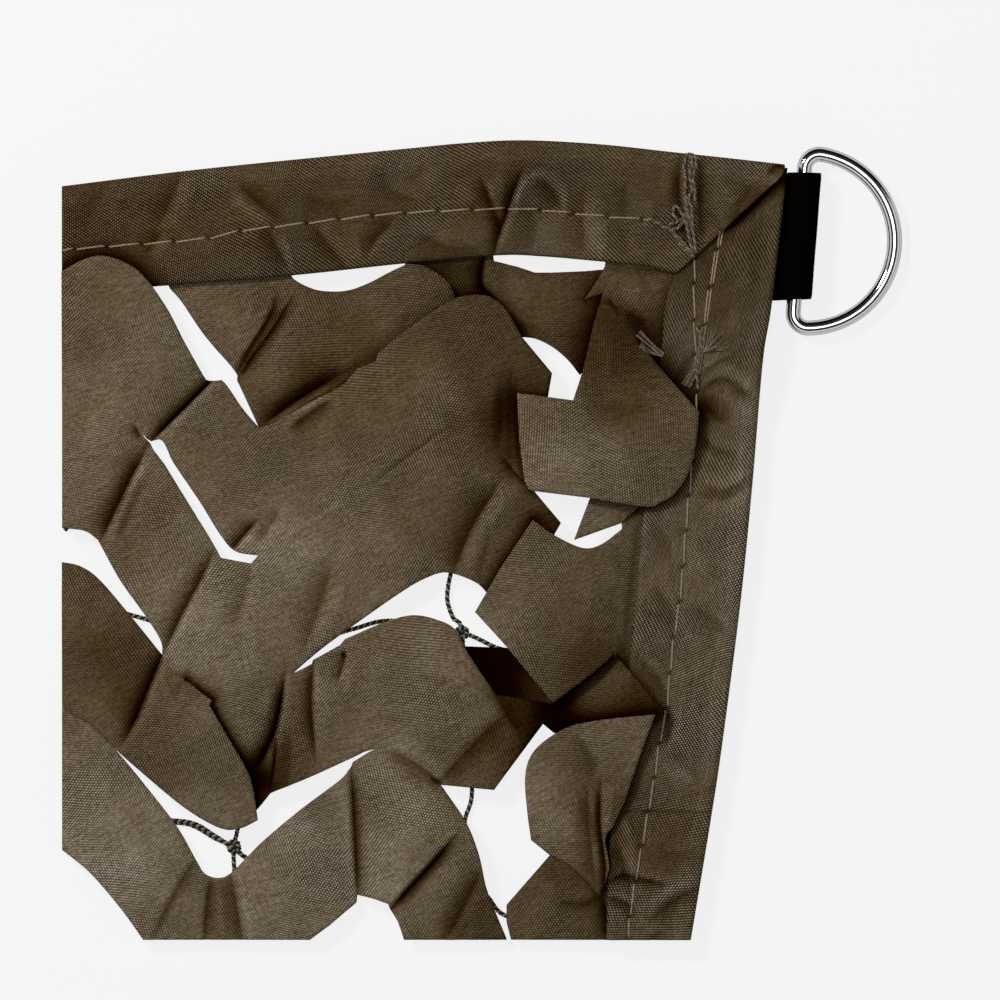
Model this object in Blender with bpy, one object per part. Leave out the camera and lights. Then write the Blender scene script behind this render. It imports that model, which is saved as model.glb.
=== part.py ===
# Top right corner of a leaf-cut shade net: one woven sheet cut into curled leaves, a knotted cord net under it,
# folded tape round its edges, and a webbing tab that holds a D-ring. It lies flat, with its face up.
# Sizes are in millimetres, measured from the lower left corner of the cut length.
import math

import bmesh
import bpy
import numpy as np
from mathutils import Vector
from mathutils.geometry import delaunay_2d_cdt

MM = 0.001
LENGTH_X = 168.0          # from the cut side to the far edge of the ring
LENGTH_Y = 159.8          # from the cut side to the top of the tape
SHEET = 1.0               # thickness of each woven layer
GAP = 0.3                 # clear space between pieces
STEP = 4.6                # spacing of the points of the leaves
MOST_LEAN = 1.3           # how much a sloping sheet may be thickened upright
EASING = 600              # rounds of averaging that spread the heights of edges and folds over a leaf
CORD_IN_TAPE = 1.8        # middle height of a cord that is held in the tape
CLOTH_IN_TAPE = 3.1       # middle height of the sheet that is held in the tape
RISES_BELOW = 4.0         # sheet below this height goes up with the webbing
TAPE_TOP = 5.1
TAPE_STEP = 5.5
CORD_RADIUS = 0.55
CORD_SIDES = 6
CORD_STEP = 4.0
KNOT_RADIUS = (1.6, 1.5, 1.1)
WIRE_RADIUS = 1.4
WIRE_SIDES = 10
RING_RADIUS = 17.5
RING_CORNER = 3.0
RING_BAR_X = -1.7         # the straight bar, left of the middle of the round side
RING_CENTRE = (149.1, 139.9)
RING_LEAN = math.radians(-4.5)
TAB_WIDTH = 25.0
TAB_HIDDEN = 8.0
TAB_LOOP_RADIUS = 3.0
TAB_SHIFT = 0.7           # how far the webbing sits from the middle of the bar
TAB_LIFT = 2.6            # two layers of webbing and their gap raise the tape over them


def smooth_step(low, high, value):
    t = min(max((value - low) / (high - low), 0.0), 1.0)
    return t * t * (3.0 - 2.0 * t)


def lift(x, y):
    """Rise of the taped corner over the hidden end of the webbing."""
    return TAB_LIFT * smooth_step(116.0, 134.0, x) * smooth_step(100.0, 122.0, y)


def spline(points, step):
    """Points about one step apart on a smooth curve through the given points."""
    pts = [Vector(p) for p in points]
    ends = [2 * pts[0] - pts[1]] + pts + [2 * pts[-1] - pts[-2]]
    dense = []
    for a, b, c, d in zip(ends, ends[1:], ends[2:], ends[3:]):
        for k in range(12):
            t = k / 12
            dense.append(0.5 * (2 * b + (c - a) * t + (2 * a - 5 * b + 4 * c - d) * t * t
                                + (3 * b - a - 3 * c + d) * t * t * t))
    dense.append(pts[-1])
    return even(dense, step)


def even(path, step):
    """The path again, with its length shared out in equal steps."""
    lengths = [0.0]
    for a, b in zip(path, path[1:]):
        lengths.append(lengths[-1] + (b - a).length)
    count = max(1, round(lengths[-1] / step))
    out = []
    for k in range(count + 1):
        target = lengths[-1] * k / count
        i = min(max(np.searchsorted(lengths, target) - 1, 0), len(path) - 2)
        span = max(lengths[i + 1] - lengths[i], 1e-9)
        out.append(path[i].lerp(path[i + 1], min((target - lengths[i]) / span, 1.0)))
    return out


def straight(points, step):
    """Points about one step apart on straight runs, keeping each corner."""
    pts = [Vector(p) for p in points]
    out = [pts[0]]
    for a, b in zip(pts, pts[1:]):
        out += even([a, b], step)[1:]
    return out


# Edges of the leaves as x, y and middle height. "curve" is a smooth run and "line" has corners.
HEM = CLOTH_IN_TAPE
EDGES = {
    # upper left leaf and the wide centre leaf
    "cutA": ("line", [(0, 82.4, 3.4), (0, 110, 3.9), (0, 126, 6.0), (0, 133.6, 6.6)]),
    "arch": ("curve", [(0, 133.6, 6.6), (3.6, 135.7, 6.8), (7.4, 136.8, 7.1), (11.2, 136.1, 7.1),
                       (14.8, 134.2, 6.9), (17.6, 131.4, 6.6), (19.2, 129.2, 6.2)]),
    "archSide": ("curve", [(19.2, 129.2, 6.2), (21.6, 125.4, 5.3), (24.4, 119.8, 4.6), (28.8, 112, 4.2)]),
    "pleatMouth": ("line", [(28.8, 112, 4.2), (30.2, 111.7, 2.6), (31.8, 112, 4.0)]),
    "centreTop": ("curve", [(31.8, 112, 4.0), (33.2, 110.6, 4.0), (36.2, 106.2, 3.9), (39.4, 102.4, 2.8)]),
    "valley": ("curve", [(39.4, 102.4, 2.8), (43.6, 104.0, 2.3), (48.2, 106.8, 2.2), (54.6, 110, 3.0)]),
    "lobeFoot": ("line", [(54.6, 110, 3.0), (56.6, 111.4, 4.3), (59, 114.2, 5.3), (62.8, 115.8, 5.7),
                          (63.2, 117.2, 5.9)]),
    "lobe": ("curve", [(63.2, 117.2, 5.9), (67.6, 121, 6.4), (75.6, 126.6, 7.2), (79, 128.4, 7.4),
                       (82.8, 129, 7.6), (86, 128.4, 7.6), (89, 125.8, 7.4), (91.8, 120.8, 6.6)]),
    "lobeRight": ("line", [(91.8, 120.8, 6.6), (98, 113.4, 4.6), (97.2, 108.8, 3.9), (96.6, 99, 3.6),
                           (94.6, 89.6, 3.6), (99.8, 83.4, 3.8), (98.2, 80.6, 3.4)]),
    "underT": ("curve", [(98.2, 80.6, 3.4), (97, 74, 3.0), (92, 67.6, 2.8), (85, 69.4, 3.1)]),
    "gapMiddleTop": ("curve", [(85, 69.4, 3.1), (82.6, 71.6, 3.5), (77, 73.5, 3.7), (72.6, 72.3, 4.0),
                               (67.6, 69.4, 4.3), (57.6, 62.4, 4.1), (51.4, 57.8, 3.7), (46, 53.2, 3.0)]),
    "wideTopLeft": ("line", [(46, 53.2, 3.0), (50, 55.2, 4.6), (50.2, 56, 4.9), (55.6, 59, 5.4),
                             (56.6, 60.2, 5.6)]),
    "wideTop": ("curve", [(56.6, 60.2, 5.6), (64.6, 63.6, 6.1), (70.6, 65, 6.4), (76.4, 63.6, 6.6),
                          (79.2, 61.8, 6.6)]),
    "wideRight": ("curve", [(79.2, 61.8, 6.6), (80.2, 59, 6.6), (83.6, 52.2, 6.0), (87, 48.8, 5.2)]),
    "neckTop": ("line", [(87, 48.8, 5.2), (92, 48, 4.8), (95.5, 47.4, 4.2), (98, 47.0, 3.2)]),
    "darkSeam": ("line", [(98, 47.0, 3.2), (102.5, 52.5, 2.6)]),
    "underTee": ("line", [(102.5, 52.5, 2.6), (109.5, 58.4, 3.1), (111.2, 56.4, 3.9), (112.6, 54.8, 5.4),
                          (114, 53.2, 6.2), (120.2, 46, 6.4), (119.2, 43.2, 6.2)]),
    "underLobe": ("line", [(119.2, 43.2, 6.2), (110, 41, 5.9), (103, 40, 4.4), (98.4, 41.4, 3.7)]),
    "gapRight": ("line", [(98.4, 41.4, 3.7), (96.2, 43.2, 3.7), (86.4, 30, 4.4), (75.8, 31, 3.2)]),
    "lowRight": ("curve", [(75.8, 31, 3.2), (80.8, 23.6, 4.2), (83.4, 17, 4.5), (85, 10, 4.0), (89, 0, 2.4)]),
    "cutLow": ("line", [(89, 0, 2.4), (78, 0, 3.4), (68.4, 0, 3.0), (67.2, 3.6, 3.4), (65.6, 6.2, 2.4)]),
    "lowNotch": ("line", [(65.6, 6.2, 2.4), (65.2, 7.2, 3.5), (62.6, 8.2, 4.0), (59, 9, 2.6), (58.8, 7.4, 2.6),
                          (53.6, 3, 3.8), (49.6, 0, 3.4)]),
    "cutLeft": ("line", [(49.6, 0, 3.4), (38, 0, 3.2), (30, 0, 2.4), (16.2, 0, 3.2)]),
    "lowLeft": ("curve", [(16.2, 0, 3.2), (11.6, 6.4, 3.7), (5.6, 13.4, 3.7), (0, 18, 3.2)]),
    "cutSide": ("line", [(0, 18, 3.2), (0, 32, 3.8), (0, 46, 3.8)]),
    "leftSeam": ("line", [(0, 46, 3.8), (5.6, 43.2, 3.6), (10.8, 38, 3.4)]),
    "gapLowSide": ("curve", [(10.8, 38, 3.4), (15, 33, 4.0), (22.8, 23, 4.3), (27, 15.6, 3.6), (28.6, 13.2, 3.2),
                             (31, 12.4, 3.0), (33.8, 13.4, 3.2), (40, 19.6, 4.0), (47.6, 26, 4.6),
                             (55.6, 32, 4.2), (57.8, 34.6, 3.4)]),
    "gapLowTip": ("line", [(57.8, 34.6, 3.4), (62.6, 38.3, 3.4)]),
    "wideLow": ("curve", [(62.6, 38.3, 3.4), (58.6, 37, 4.2), (49.6, 32.6, 4.6), (41.6, 29.4, 3.8)]),
    "creaseFoot": ("line", [(41.6, 29.4, 3.8), (40, 27.2, 2.6), (38.6, 25.6, 2.2)]),
    "underLeft": ("line", [(38.6, 25.6, 2.2), (35.4, 30, 2.2), (32, 37, 2.4), (29.2, 43.5, 2.6), (30.4, 47.2, 2.8),
                           (27.5, 49.9, 3.1), (24.6, 52, 3.4)]),
    "leftJoin": ("line", [(24.6, 52, 3.4), (20, 57, 3.2)]),
    "gapLeftTop": ("curve", [(20, 57, 3.2), (19.8, 59.8, 3.8), (16.6, 65, 4.5), (11.6, 72, 4.7), (7.2, 80, 4.0)]),
    "archLow": ("curve", [(7.2, 80, 4.0), (4.6, 81.8, 3.7), (0, 82.4, 3.4)]),
    # long gap with the slit that runs on from its lower end
    "slotRight": ("curve", [(19.6, 100.4, 3.4), (22.6, 95.4, 3.7), (27.6, 87.6, 3.8), (31.4, 81.4, 3.8),
                            (34.6, 77.8, 3.6), (39.2, 76.9, 3.2)]),
    "slitUpper": ("curve", [(39.2, 76.9, 3.2), (51.6, 84.7, 3.7), (62.6, 91.1, 4.1), (72, 98.9, 4.4),
                            (78.6, 103.4, 4.8)]),
    "slitLower": ("curve", [(78.6, 103.4, 4.8), (72.3, 98.5, 5.0), (62.9, 90.7, 4.8), (51.9, 84.3, 4.4),
                            (42.4, 78.3, 3.8), (37.8, 75.3, 3.4)]),
    "slotLeft": ("line", [(37.8, 75.3, 3.4), (31.8, 76.4, 4.0), (29.6, 80.4, 4.4),
                          (20.6, 95, 4.2), (18, 98.6, 3.6), (15.8, 101.6, 3.4), (17.6, 100.2, 2.5),
                          (19.6, 100.4, 3.4)]),
    # uncut strip in the tape, and the leaves that hang straight from it
    "stripTop": ("curve", [(0, 145.5, HEM), (27.6, 149, HEM), (67.6, 153, HEM), (91.6, 154.8, HEM),
                           (107.6, 154, HEM), (138, 149.6, HEM)]),
    "stripSide": ("curve", [(138, 149.6, HEM), (136, 127.6, HEM), (134, 108, HEM), (130.2, 68, HEM),
                            (126.6, 40, HEM), (120.6, 0, HEM)]),
    "cutFoot": ("line", [(120.6, 0, HEM), (108.4, 0, HEM), (98, 0, 2.8), (90, 0, 2.6), (89, 6, 3.0),
                         (97.6, 17, 3.6)]),
    "footSeam": ("line", [(97.6, 17, 3.6), (103, 17.4, 4.2), (108.2, 20.2, 3.8)]),
    "footTuck": ("line", [(108.2, 20.2, 3.8), (109.0, 18.4, HEM), (113.4, 20, HEM)]),
    "stripLow": ("curve", [(113.4, 20, HEM), (115, 35, HEM), (117, 53, HEM), (116.6, 60.6, HEM)]),
    "teeLowRight": ("line", [(116.6, 60.6, HEM), (113.2, 59.4, HEM), (111.4, 57.9, 5.0), (109.5, 56.3, 5.9),
                             (105.6, 53, 6.4), (98.2, 47.4, 5.4)]),
    "teeLowLeft": ("curve", [(98.2, 47.4, 5.4), (93.6, 53, 5.7), (88.6, 59, 5.7), (82.6, 65.6, 5.2)]),
    "teeLeft": ("line", [(82.6, 65.6, 5.2), (87.6, 74.2, 5.2), (94.2, 84, 5.4)]),
    "teeTop": ("curve", [(94.2, 84, 5.4), (98.6, 80.9, 5.4), (104.2, 78.4, 5.6), (108, 79.2, 5.2),
                         (112, 82.2, 4.2)]),
    "smallLow": ("line", [(112, 82.2, 4.2), (112, 83.4, 4.0), (102.4, 80, 5.4)]),
    "smallLeft": ("line", [(102.4, 80, 5.4), (105.6, 88.4, 4.8), (107.6, 94, 4.2)]),
    "smallTop": ("line", [(107.6, 94, 4.2), (114.5, 95.5, 3.4), (117.4, 96.2, HEM), (120.5, 97, HEM)]),
    "stripMiddle": ("line", [(120.5, 97, HEM), (121.5, 107, HEM)]),
    "cornerLow": ("line", [(121.5, 107, HEM), (119.4, 109.5, HEM), (117.6, 112.6, HEM), (118.9, 116, HEM),
                           (117.4, 118.1, 3.7), (115.6, 119.6, 4.8)]),
    "flapSeam": ("curve", [(115.6, 119.6, 4.8), (113.8, 123, 4.9), (112, 125.6, 4.8), (108.2, 129.4, 4.4)]),
    "cornerTip": ("line", [(108.2, 129.4, 4.4), (104.6, 128.2, 4.6), (107.2, 132.2, 4.1)]),
    "cornerLeft": ("line", [(107.2, 132.2, 4.1), (108.6, 134.8, 3.2), (109, 138.4, HEM)]),
    "stripRight": ("line", [(109, 138.4, HEM), (98, 139.6, HEM), (86, 138.8, HEM)]),
    "hoodSeam": ("line", [(86, 138.8, HEM), (77, 138.4, HEM), (68.6, 138, HEM)]),
    "stripLeft": ("curve", [(68.6, 138, HEM), (57, 137, HEM), (46, 135.6, HEM)]),
    "fanTop": ("curve", [(46, 135.6, HEM), (46, 132.6, 3.3), (50, 130.3, 3.8), (53.8, 129.7, 4.0),
                         (57.6, 130, 4.2), (61.6, 131.5, 4.4), (65.6, 133.4, 4.7), (69.6, 134.4, 5.0)]),
    "fanCorner": ("curve", [(69.6, 134.4, 5.0), (73, 134, 5.2), (75.6, 133, 5.2), (78, 131.4, 5.1),
                            (80.6, 128.6, 4.9)]),
    "fanHidden": ("line", [(80.6, 128.6, 4.9), (80.6, 125.4, 4.8), (75, 121.6, 4.4), (68, 117.2, 3.9),
                           (62, 113.6, 3.6), (58.6, 114.4, 3.3), (56.2, 111.8, 3.1), (54.6, 110, 3.0)]),
    "fanLeft": ("curve", [(39.4, 102.4, 2.8), (37.2, 107.2, 3.3), (35, 112, 3.8)]),
    "fanSide": ("curve", [(35, 112, 3.8), (34.6, 113.8, 4.0), (28.6, 120.8, 4.4), (23.8, 127.8, 3.6),
                          (21.4, 130.6, HEM), (20.8, 133.6, HEM)]),
    "stripCut": ("line", [(20.8, 133.6, HEM), (0, 132.4, HEM), (0, 145.5, HEM)]),
    # leaf behind the centre leaf, hung from the top strip
    "hoodTop": ("curve", [(86, 138.8, HEM), (86.6, 136.4, HEM), (91.6, 134.3, 3.4), (97.6, 133.3, 3.2),
                          (104.6, 133.7, 2.2), (107.6, 134, 1.4), (110.5, 134, 1.3)]),
    "hoodRight": ("line", [(110.5, 134, 1.3), (110.5, 128, 1.4), (107.6, 118, 1.9), (103.6, 113, 2.4)]),
    "hoodLow": ("curve", [(103.6, 113, 2.4), (101.2, 116, 3.0), (98, 118.7, 3.5), (94.6, 120.3, 3.6),
                          (91.4, 120.6, 3.2), (88, 120.8, 2.7)]),
    "hoodHidden": ("line", [(88, 120.8, 2.7), (80, 122.6, 2.4), (72.5, 128, 2.5), (68.6, 132.6, 2.9),
                            (68.6, 138, HEM)]),
    # twisted flap over the right side
    "flapRight": ("line", [(115.6, 119.6, 4.8), (117, 117.7, 6.0), (118.6, 115.6, 6.6), (122.6, 111, 7.2),
                           (127.4, 105.6, 7.6)]),
    "flapRound": ("curve", [(127.4, 105.6, 7.6), (126.8, 99.6, 7.6), (125.4, 93.8, 7.4), (122.8, 89.6, 7.2),
                            (119.6, 87.4, 6.9), (116.4, 86.7, 6.8), (105.6, 88.6, 6.9)]),
    "flapLow": ("line", [(105.6, 88.6, 6.9), (94.6, 89.8, 7.0), (92.4, 91.2, 7.0), (91.4, 100, 7.2),
                         (91, 109.4, 7.4), (102.2, 107.9, 7.0)]),
    "flapLeft": ("curve", [(102.2, 107.9, 7.0), (104.2, 114.2, 6.4), (106.2, 122.6, 5.4), (108.2, 129.4, 4.4)]),
    # leaf on the left that lies over the centre leaf
    "cutE": ("line", [(0, 46, 3.8), (0, 60, 4.2), (0, 75.6, 4.5)]),
    "gapLeftLow": ("curve", [(0, 75.6, 4.5), (3.6, 74.8, 4.7), (7.4, 72.2, 4.9), (13.6, 65, 5.0), (20, 57, 3.2)]),
    "leftRight": ("line", [(24.6, 52, 3.4), (27.2, 49.4, 4.5), (30, 46.8, 5.2), (33.6, 41, 5.3), (37.6, 34, 5.2),
                           (39.2, 30, 5.0), (39.2, 24, 4.4)]),
    "leftLow": ("curve", [(39.2, 24, 4.4), (35.6, 22.3, 4.6), (31.6, 22.4, 4.8), (24.6, 26.4, 5.0),
                          (15.6, 33.8, 4.2), (10.8, 38, 3.4)]),
    # dark leaf deep between the wide leaf and the one held by the side tape
    "darkTop": ("line", [(102.5, 52.5, 2.6), (96, 58, 2.2), (89.2, 58.4, 2.2), (78.8, 58.8, 2.8)]),
    "darkLow": ("line", [(78.8, 58.8, 2.8), (81.4, 51.5, 2.4), (84.6, 46.4, 2.1), (91.4, 45.8, 1.9),
                         (92.2, 48.6, 2.0), (95.7, 48.0, 2.5), (98, 47.0, 3.2)]),
    # lobe that curls over the side tape
    "curlRight": ("line", [(108.2, 20.2, 3.8), (109.0, 21.4, 5.3), (110.2, 22.8, 6.1), (112.6, 28, 6.6),
                           (115.6, 37, 7.2), (118.6, 45.2, 8.0)]),
    "curlTop": ("curve", [(118.6, 45.2, 8.0), (112.6, 44.6, 7.9), (107.4, 44, 7.5), (101.6, 42.8, 6.6),
                          (96.4, 39.8, 5.9), (93.6, 36.6, 5.5), (92.6, 32.4, 5.2), (93, 26, 4.8), (93.8, 20, 4.2)]),
    "curlNotch": ("line", [(93.8, 20, 4.2), (97.6, 17, 3.6)]),
}

# Each leaf or group of leaves that lies in one layer: its edges in order, the gap in it, and its main folds.
# A "-" runs an edge backwards. A fold is a run of x, y and middle height, low for a valley and high for a ridge.
PANELS = {
    "centre": (
        ["cutA", "arch", "archSide", "pleatMouth", "centreTop", "valley", "lobeFoot", "lobe", "lobeRight", "underT",
         "gapMiddleTop", "wideTopLeft", "wideTop", "wideRight", "neckTop", "darkSeam", "underTee", "underLobe",
         "gapRight", "lowRight", "cutLow", "lowNotch", "cutLeft", "lowLeft", "cutSide", "leftSeam", "gapLowSide",
         "gapLowTip", "wideLow", "creaseFoot", "underLeft", "leftJoin", "gapLeftTop", "archLow"],
        ["slotRight", "slitUpper", "slitLower", "slotLeft"],
        [[(30.2, 111.7, 2.6), (24, 105.6, 2.3), (17.6, 100.2, 2.5)],
         [(27, 110, 5.2), (20, 104, 5.0)], [(32.4, 107.6, 5.0), (24, 100.6, 4.8)],
         [(8, 122, 6.2), (16, 119, 6.0)],
         [(17, 96, 3.4), (11, 86, 2.8), (7.2, 80, 4.0)], [(19, 88, 4.8), (14, 79, 5.0)],
         [(29, 76, 3.4), (24, 66, 2.9), (20.6, 59, 3.0)],
         [(45, 88, 4.6), (40, 96, 4.8)], [(60, 103, 4.8), (50, 98, 4.6)],
         [(64, 112.6, 5.9), (72, 116, 6.7), (80, 120, 7.2), (86, 121, 7.2)], [(84, 106, 6.0), (88, 114, 6.3)],
         [(92.6, 112.4, 4.8), (93, 106, 3.9), (92.4, 96, 3.6)],
         [(86, 82, 3.1), (80, 76, 3.1)], [(66, 84, 5.2), (60, 74, 4.8)], [(50, 72, 4.2), (38, 62, 4.4)],
         [(46, 53.2, 3.0), (43.6, 49, 2.2), (42.4, 42, 2.1), (40.4, 34, 2.1), (38.6, 25.6, 2.2)],
         [(47, 48, 5.0), (46, 38, 4.6)], [(50.2, 53, 4.4), (50.6, 44, 4.0), (51.6, 38, 4.2)],
         [(64, 54, 6.4), (74, 52, 6.6), (80, 48, 6.4)],
         [(87.6, 46, 4.6), (82, 38, 3.9), (75.8, 31, 3.2)], [(62.6, 38.3, 3.4), (70, 35.6, 3.2), (75.8, 31, 3.2)],
         [(58.4, 33.4, 3.2), (58.6, 20, 2.9), (59, 9, 2.6)], [(78, 20, 4.6), (71, 13, 3.0), (65.6, 6.2, 2.4)],
         [(31, 12.4, 3.0), (30, 0, 2.4)], [(27, 14, 3.2), (20, 2, 2.9)],
         [(112.4, 51, 6.2), (112, 46, 6.3), (111.6, 42, 6.2)]],
    ),
    "margin": (
        ["stripTop", "stripSide", "cutFoot", "footSeam", "footTuck", "stripLow", "teeLowRight", "teeLowLeft",
         "teeLeft", "teeTop", "smallLow", "smallLeft", "smallTop", "stripMiddle", "cornerLow", "flapSeam",
         "cornerTip", "cornerLeft", "stripRight", "hoodSeam", "stripLeft", "fanTop", "fanCorner", "fanHidden",
         "-valley", "fanLeft", "fanSide", "stripCut"],
        [],
        [[(109.2, 4, HEM), (108.0, 9, HEM), (108.2, 14, HEM)],
         [(114.4, 64, HEM), (115.2, 72, HEM), (116, 80, HEM), (116.6, 86, HEM)],
         [(107, 60, 6.2), (108, 70, 5.8)], [(92, 66, 5.8), (98, 72, 5.8)],
         [(112.6, 83.2, 3.9), (115.2, 86.4, HEM)],
         [(108.8, 136, HEM), (115, 135.6, HEM), (121.4, 134.4, HEM), (120, 126, HEM), (119.4, 118, HEM)],
         [(112, 131, 4.0), (116, 127, 3.9)],
         [(22, 132, HEM), (34, 132.6, HEM), (45, 133.8, HEM)],
         [(35, 112, 3.8), (40, 119, 2.9), (43.6, 126, 3.0)], [(38, 111, 4.8), (44, 119, 4.6)],
         [(50, 112, 4.6), (58, 119, 4.8), (66, 125, 4.9)]],
    ),
    "hood": (["-hoodSeam", "hoodTop", "hoodRight", "hoodLow", "hoodHidden"], [],
             [[(84.2, 136.4, HEM), (84, 132, 2.6), (85, 127, 2.5)], [(70, 136, HEM), (78, 136, HEM), (83, 136.2, HEM)],
              [(78, 131, 2.9), (82, 131, 2.9)], [(90, 130, 3.8), (96, 127, 3.9)]]),
    "flap": (["flapRight", "flapRound", "flapLow", "flapLeft", "-flapSeam"], [],
             [[(110, 120, 6.0), (112, 113, 6.8)], [(98, 99, 7.6), (112, 98, 7.8), (120, 97, 7.8)]]),
    "left": (["cutE", "gapLeftLow", "-leftJoin", "leftRight", "leftLow", "-leftSeam"], [],
             [[(20, 57, 3.2), (16.6, 50, 3.2), (13, 42.6, 3.3)], [(22, 42, 5.2), (28, 34, 5.2)]]),
    "dark": (["darkSeam", "darkTop", "darkLow"], [], []),
    "curl": (["footSeam", "curlRight", "curlTop", "curlNotch"], [],
             [[(110.6, 26, 6.4), (111, 33, 6.8), (111.6, 40, 7.5)], [(107.6, 34, 5.8), (107, 26, 5.2)],
              [(102, 36, 6.4), (100, 26, 5.4)]]),
}

# Outer and inner edge of each tape, in the order of matching points
TAPES = {
    "binding_top": (
        [(0, 150.6), (27.6, 154), (67.6, 158), (80, 159.2), (92, 159.8), (107.6, 159), (124, 157.2), (144.4, 154.9)],
        [(0, 129.4), (18.6, 130.8), (46, 133), (68.6, 135.4), (87, 137), (96, 136.8), (108.6, 135.7), (122, 134.4)]),
    "binding_side": (
        [(144.9, 154.4), (141.8, 127.6), (140, 116), (138, 92), (135.6, 68), (132, 40), (129.6, 24), (125.6, 0)],
        [(122.35, 134.0), (120.6, 126), (120, 118), (117, 92), (114.8, 68), (112, 40), (109.6, 19), (109.0, 0)]),
}
# Puffs of the upper layer of the tape: middle, reach and height
PUFFS = [(97, 150, 6, 0.9), (80, 148, 7, 0.7), (42, 146, 7, 0.8), (20, 143, 8, 0.6), (62, 147, 8, 0.5),
         (131, 128, 6, 0.4), (128, 92, 8, 0.6), (124, 62, 7, 0.5), (119, 12, 6, 0.8), (121, 34, 7, 0.5)]

KNOTS = {"lowLeft": (34.6, 18.4), "lowRight": (80, 18), "midLeft": (34.6, 63), "midRight": (80, 61.4),
         "topLeft": (42, 97), "topRight": (80, 101)}
LOW = CORD_RADIUS
HELD = CORD_IN_TAPE
KNOT_HEIGHT = 1.1
# Routes of the cords as x, y and middle height; a name stands for a knot
CORDS = [
    [(0.3, 24.5, LOW), (12, 23.6, LOW), (22.6, 23, LOW), (29, 21.4, 0.8), "lowLeft", (38, 15.6, LOW), (50, 12, LOW),
     (66, 14, LOW), "lowRight", (82.6, 12, LOW), (85.4, 8.2, LOW), (88.6, 4.8, LOW), (97, 3, LOW),
     (104, 5, 1.1), (108.6, 6.6, HELD), (118, 8, HELD)],
    [(0.3, 66.5, LOW), (10, 66.6, LOW), (16.4, 64.8, LOW), (25, 62, LOW), "midLeft", (46, 59, LOW), (57.6, 62, LOW),
     (66, 63.8, LOW), "midRight", (87.6, 58.2, LOW), (94, 57.8, LOW), (104, 58.4, LOW), (109, 59, 1.1),
     (113.4, 59.6, HELD), (122, 61, HELD)],
    [(0.5, 82, LOW), (2.6, 85, LOW), (8, 97, LOW), (16, 106, LOW), (26, 106.4, LOW), (34, 101, LOW), "topLeft", (58, 91, LOW), "topRight",
     (96, 97, LOW), (108, 98, LOW), (113, 99, 1.1), (117.6, 100, HELD), (125, 101, HELD)],
    [(36, 0.2, LOW), (34.8, 8, LOW), (34.4, 13.6, LOW), "lowLeft", (35.2, 23, LOW), (38, 40, LOW), "midLeft",
     (40, 72, LOW), (43.5, 84, LOW), "topLeft", (43, 104, LOW), (42.5, 118, LOW), (40, 126, 1.1), (39, 132.4, HELD), (38, 142, HELD)],
    [(79, 0.2, LOW), (79, 9, LOW), "lowRight", (80.6, 24, LOW), (82, 30, LOW), (80.6, 45, LOW), "midRight",
     (77.6, 66, LOW), (77.2, 70, LOW), (79, 85, LOW), "topRight", (78.4, 118, LOW), (79.6, 128, 0.9),
     (80, 135.4, HELD), (80, 145, HELD)],
]


def edge_points(name, step):
    """Points of a named edge, backwards after a minus sign."""
    kind, points = EDGES[name.lstrip("-")]
    path = spline(points, step) if kind == "curve" else straight(points, step)
    return path[::-1] if name.startswith("-") else path


def outline(names, step):
    """Closed run of points of several edges in order."""
    loop = []
    for name in names:
        path = edge_points(name, step)
        loop += path[:-1]
    return loop


def inside(loops, x, y):
    """Whether a place is inside the first loop and outside the others."""
    odd = False
    for loop in loops:
        for a, b in zip(loop, loop[1:] + loop[:1]):
            if (a.y > y) != (b.y > y) and x < a.x + (y - a.y) * (b.x - a.x) / (b.y - a.y):
                odd = not odd
    return odd


def panel_triangles(panel, step):
    """Points and triangles of one panel, with heights eased between its edges and folds."""
    names, gap, folds = PANELS[panel]
    loops = [outline(names, step)] + ([outline(gap, step)] if gap else [])
    points, edges = [], []
    for loop in loops:
        first = len(points)
        points += loop
        edges += [(first + k, first + (k + 1) % len(loop)) for k in range(len(loop))]
    rim = len(points)
    for fold in folds:
        path = straight(fold, step)
        near = [p for p in path if min((p.xy - q.xy).length for q in points[:rim]) > 0.3 * step]
        points += near
    fixed = len(points)
    taken = np.array([p.xy for p in points])
    row = 0
    y = min(p.y for p in loops[0])
    while y < max(p.y for p in loops[0]):
        x = min(p.x for p in loops[0]) + (row % 2) * step / 2
        while x < max(p.x for p in loops[0]):
            if inside(loops, x, y) and np.hypot(*(taken - (x, y)).T).min() > 0.6 * step:
                points.append(Vector((x, y, 0)))
            x += step
        y += step * 0.87
        row += 1
    found = delaunay_2d_cdt([p.xy for p in points], edges, [], 0, 1e-6)
    order = [ids[0] for ids in found[3]]
    triangles = []
    for face in found[2]:
        corners = [order[k] for k in face]
        middle = sum((points[k] for k in corners), Vector()) / 3
        if inside(loops, middle.x, middle.y):
            triangles.append(corners)
    ease_heights(points, triangles, fixed)
    return points, triangles


def ease_heights(points, triangles, fixed):
    """Heights of the free points, each the mean of its neighbours."""
    pairs = np.array([(t[k], t[k - 1]) for t in triangles for k in range(3)])
    pairs = np.concatenate([pairs, pairs[:, ::-1]])
    count = np.maximum(np.bincount(pairs[:, 0], minlength=len(points)), 1)
    height = np.array([p.z for p in points])
    height[fixed:] = height[:fixed].mean()
    for _ in range(EASING):
        mean = np.bincount(pairs[:, 0], height[pairs[:, 1]], len(points)) / count
        height[fixed:] = mean[fixed:]
    for p, z in zip(points, height):
        p.z = z


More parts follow.
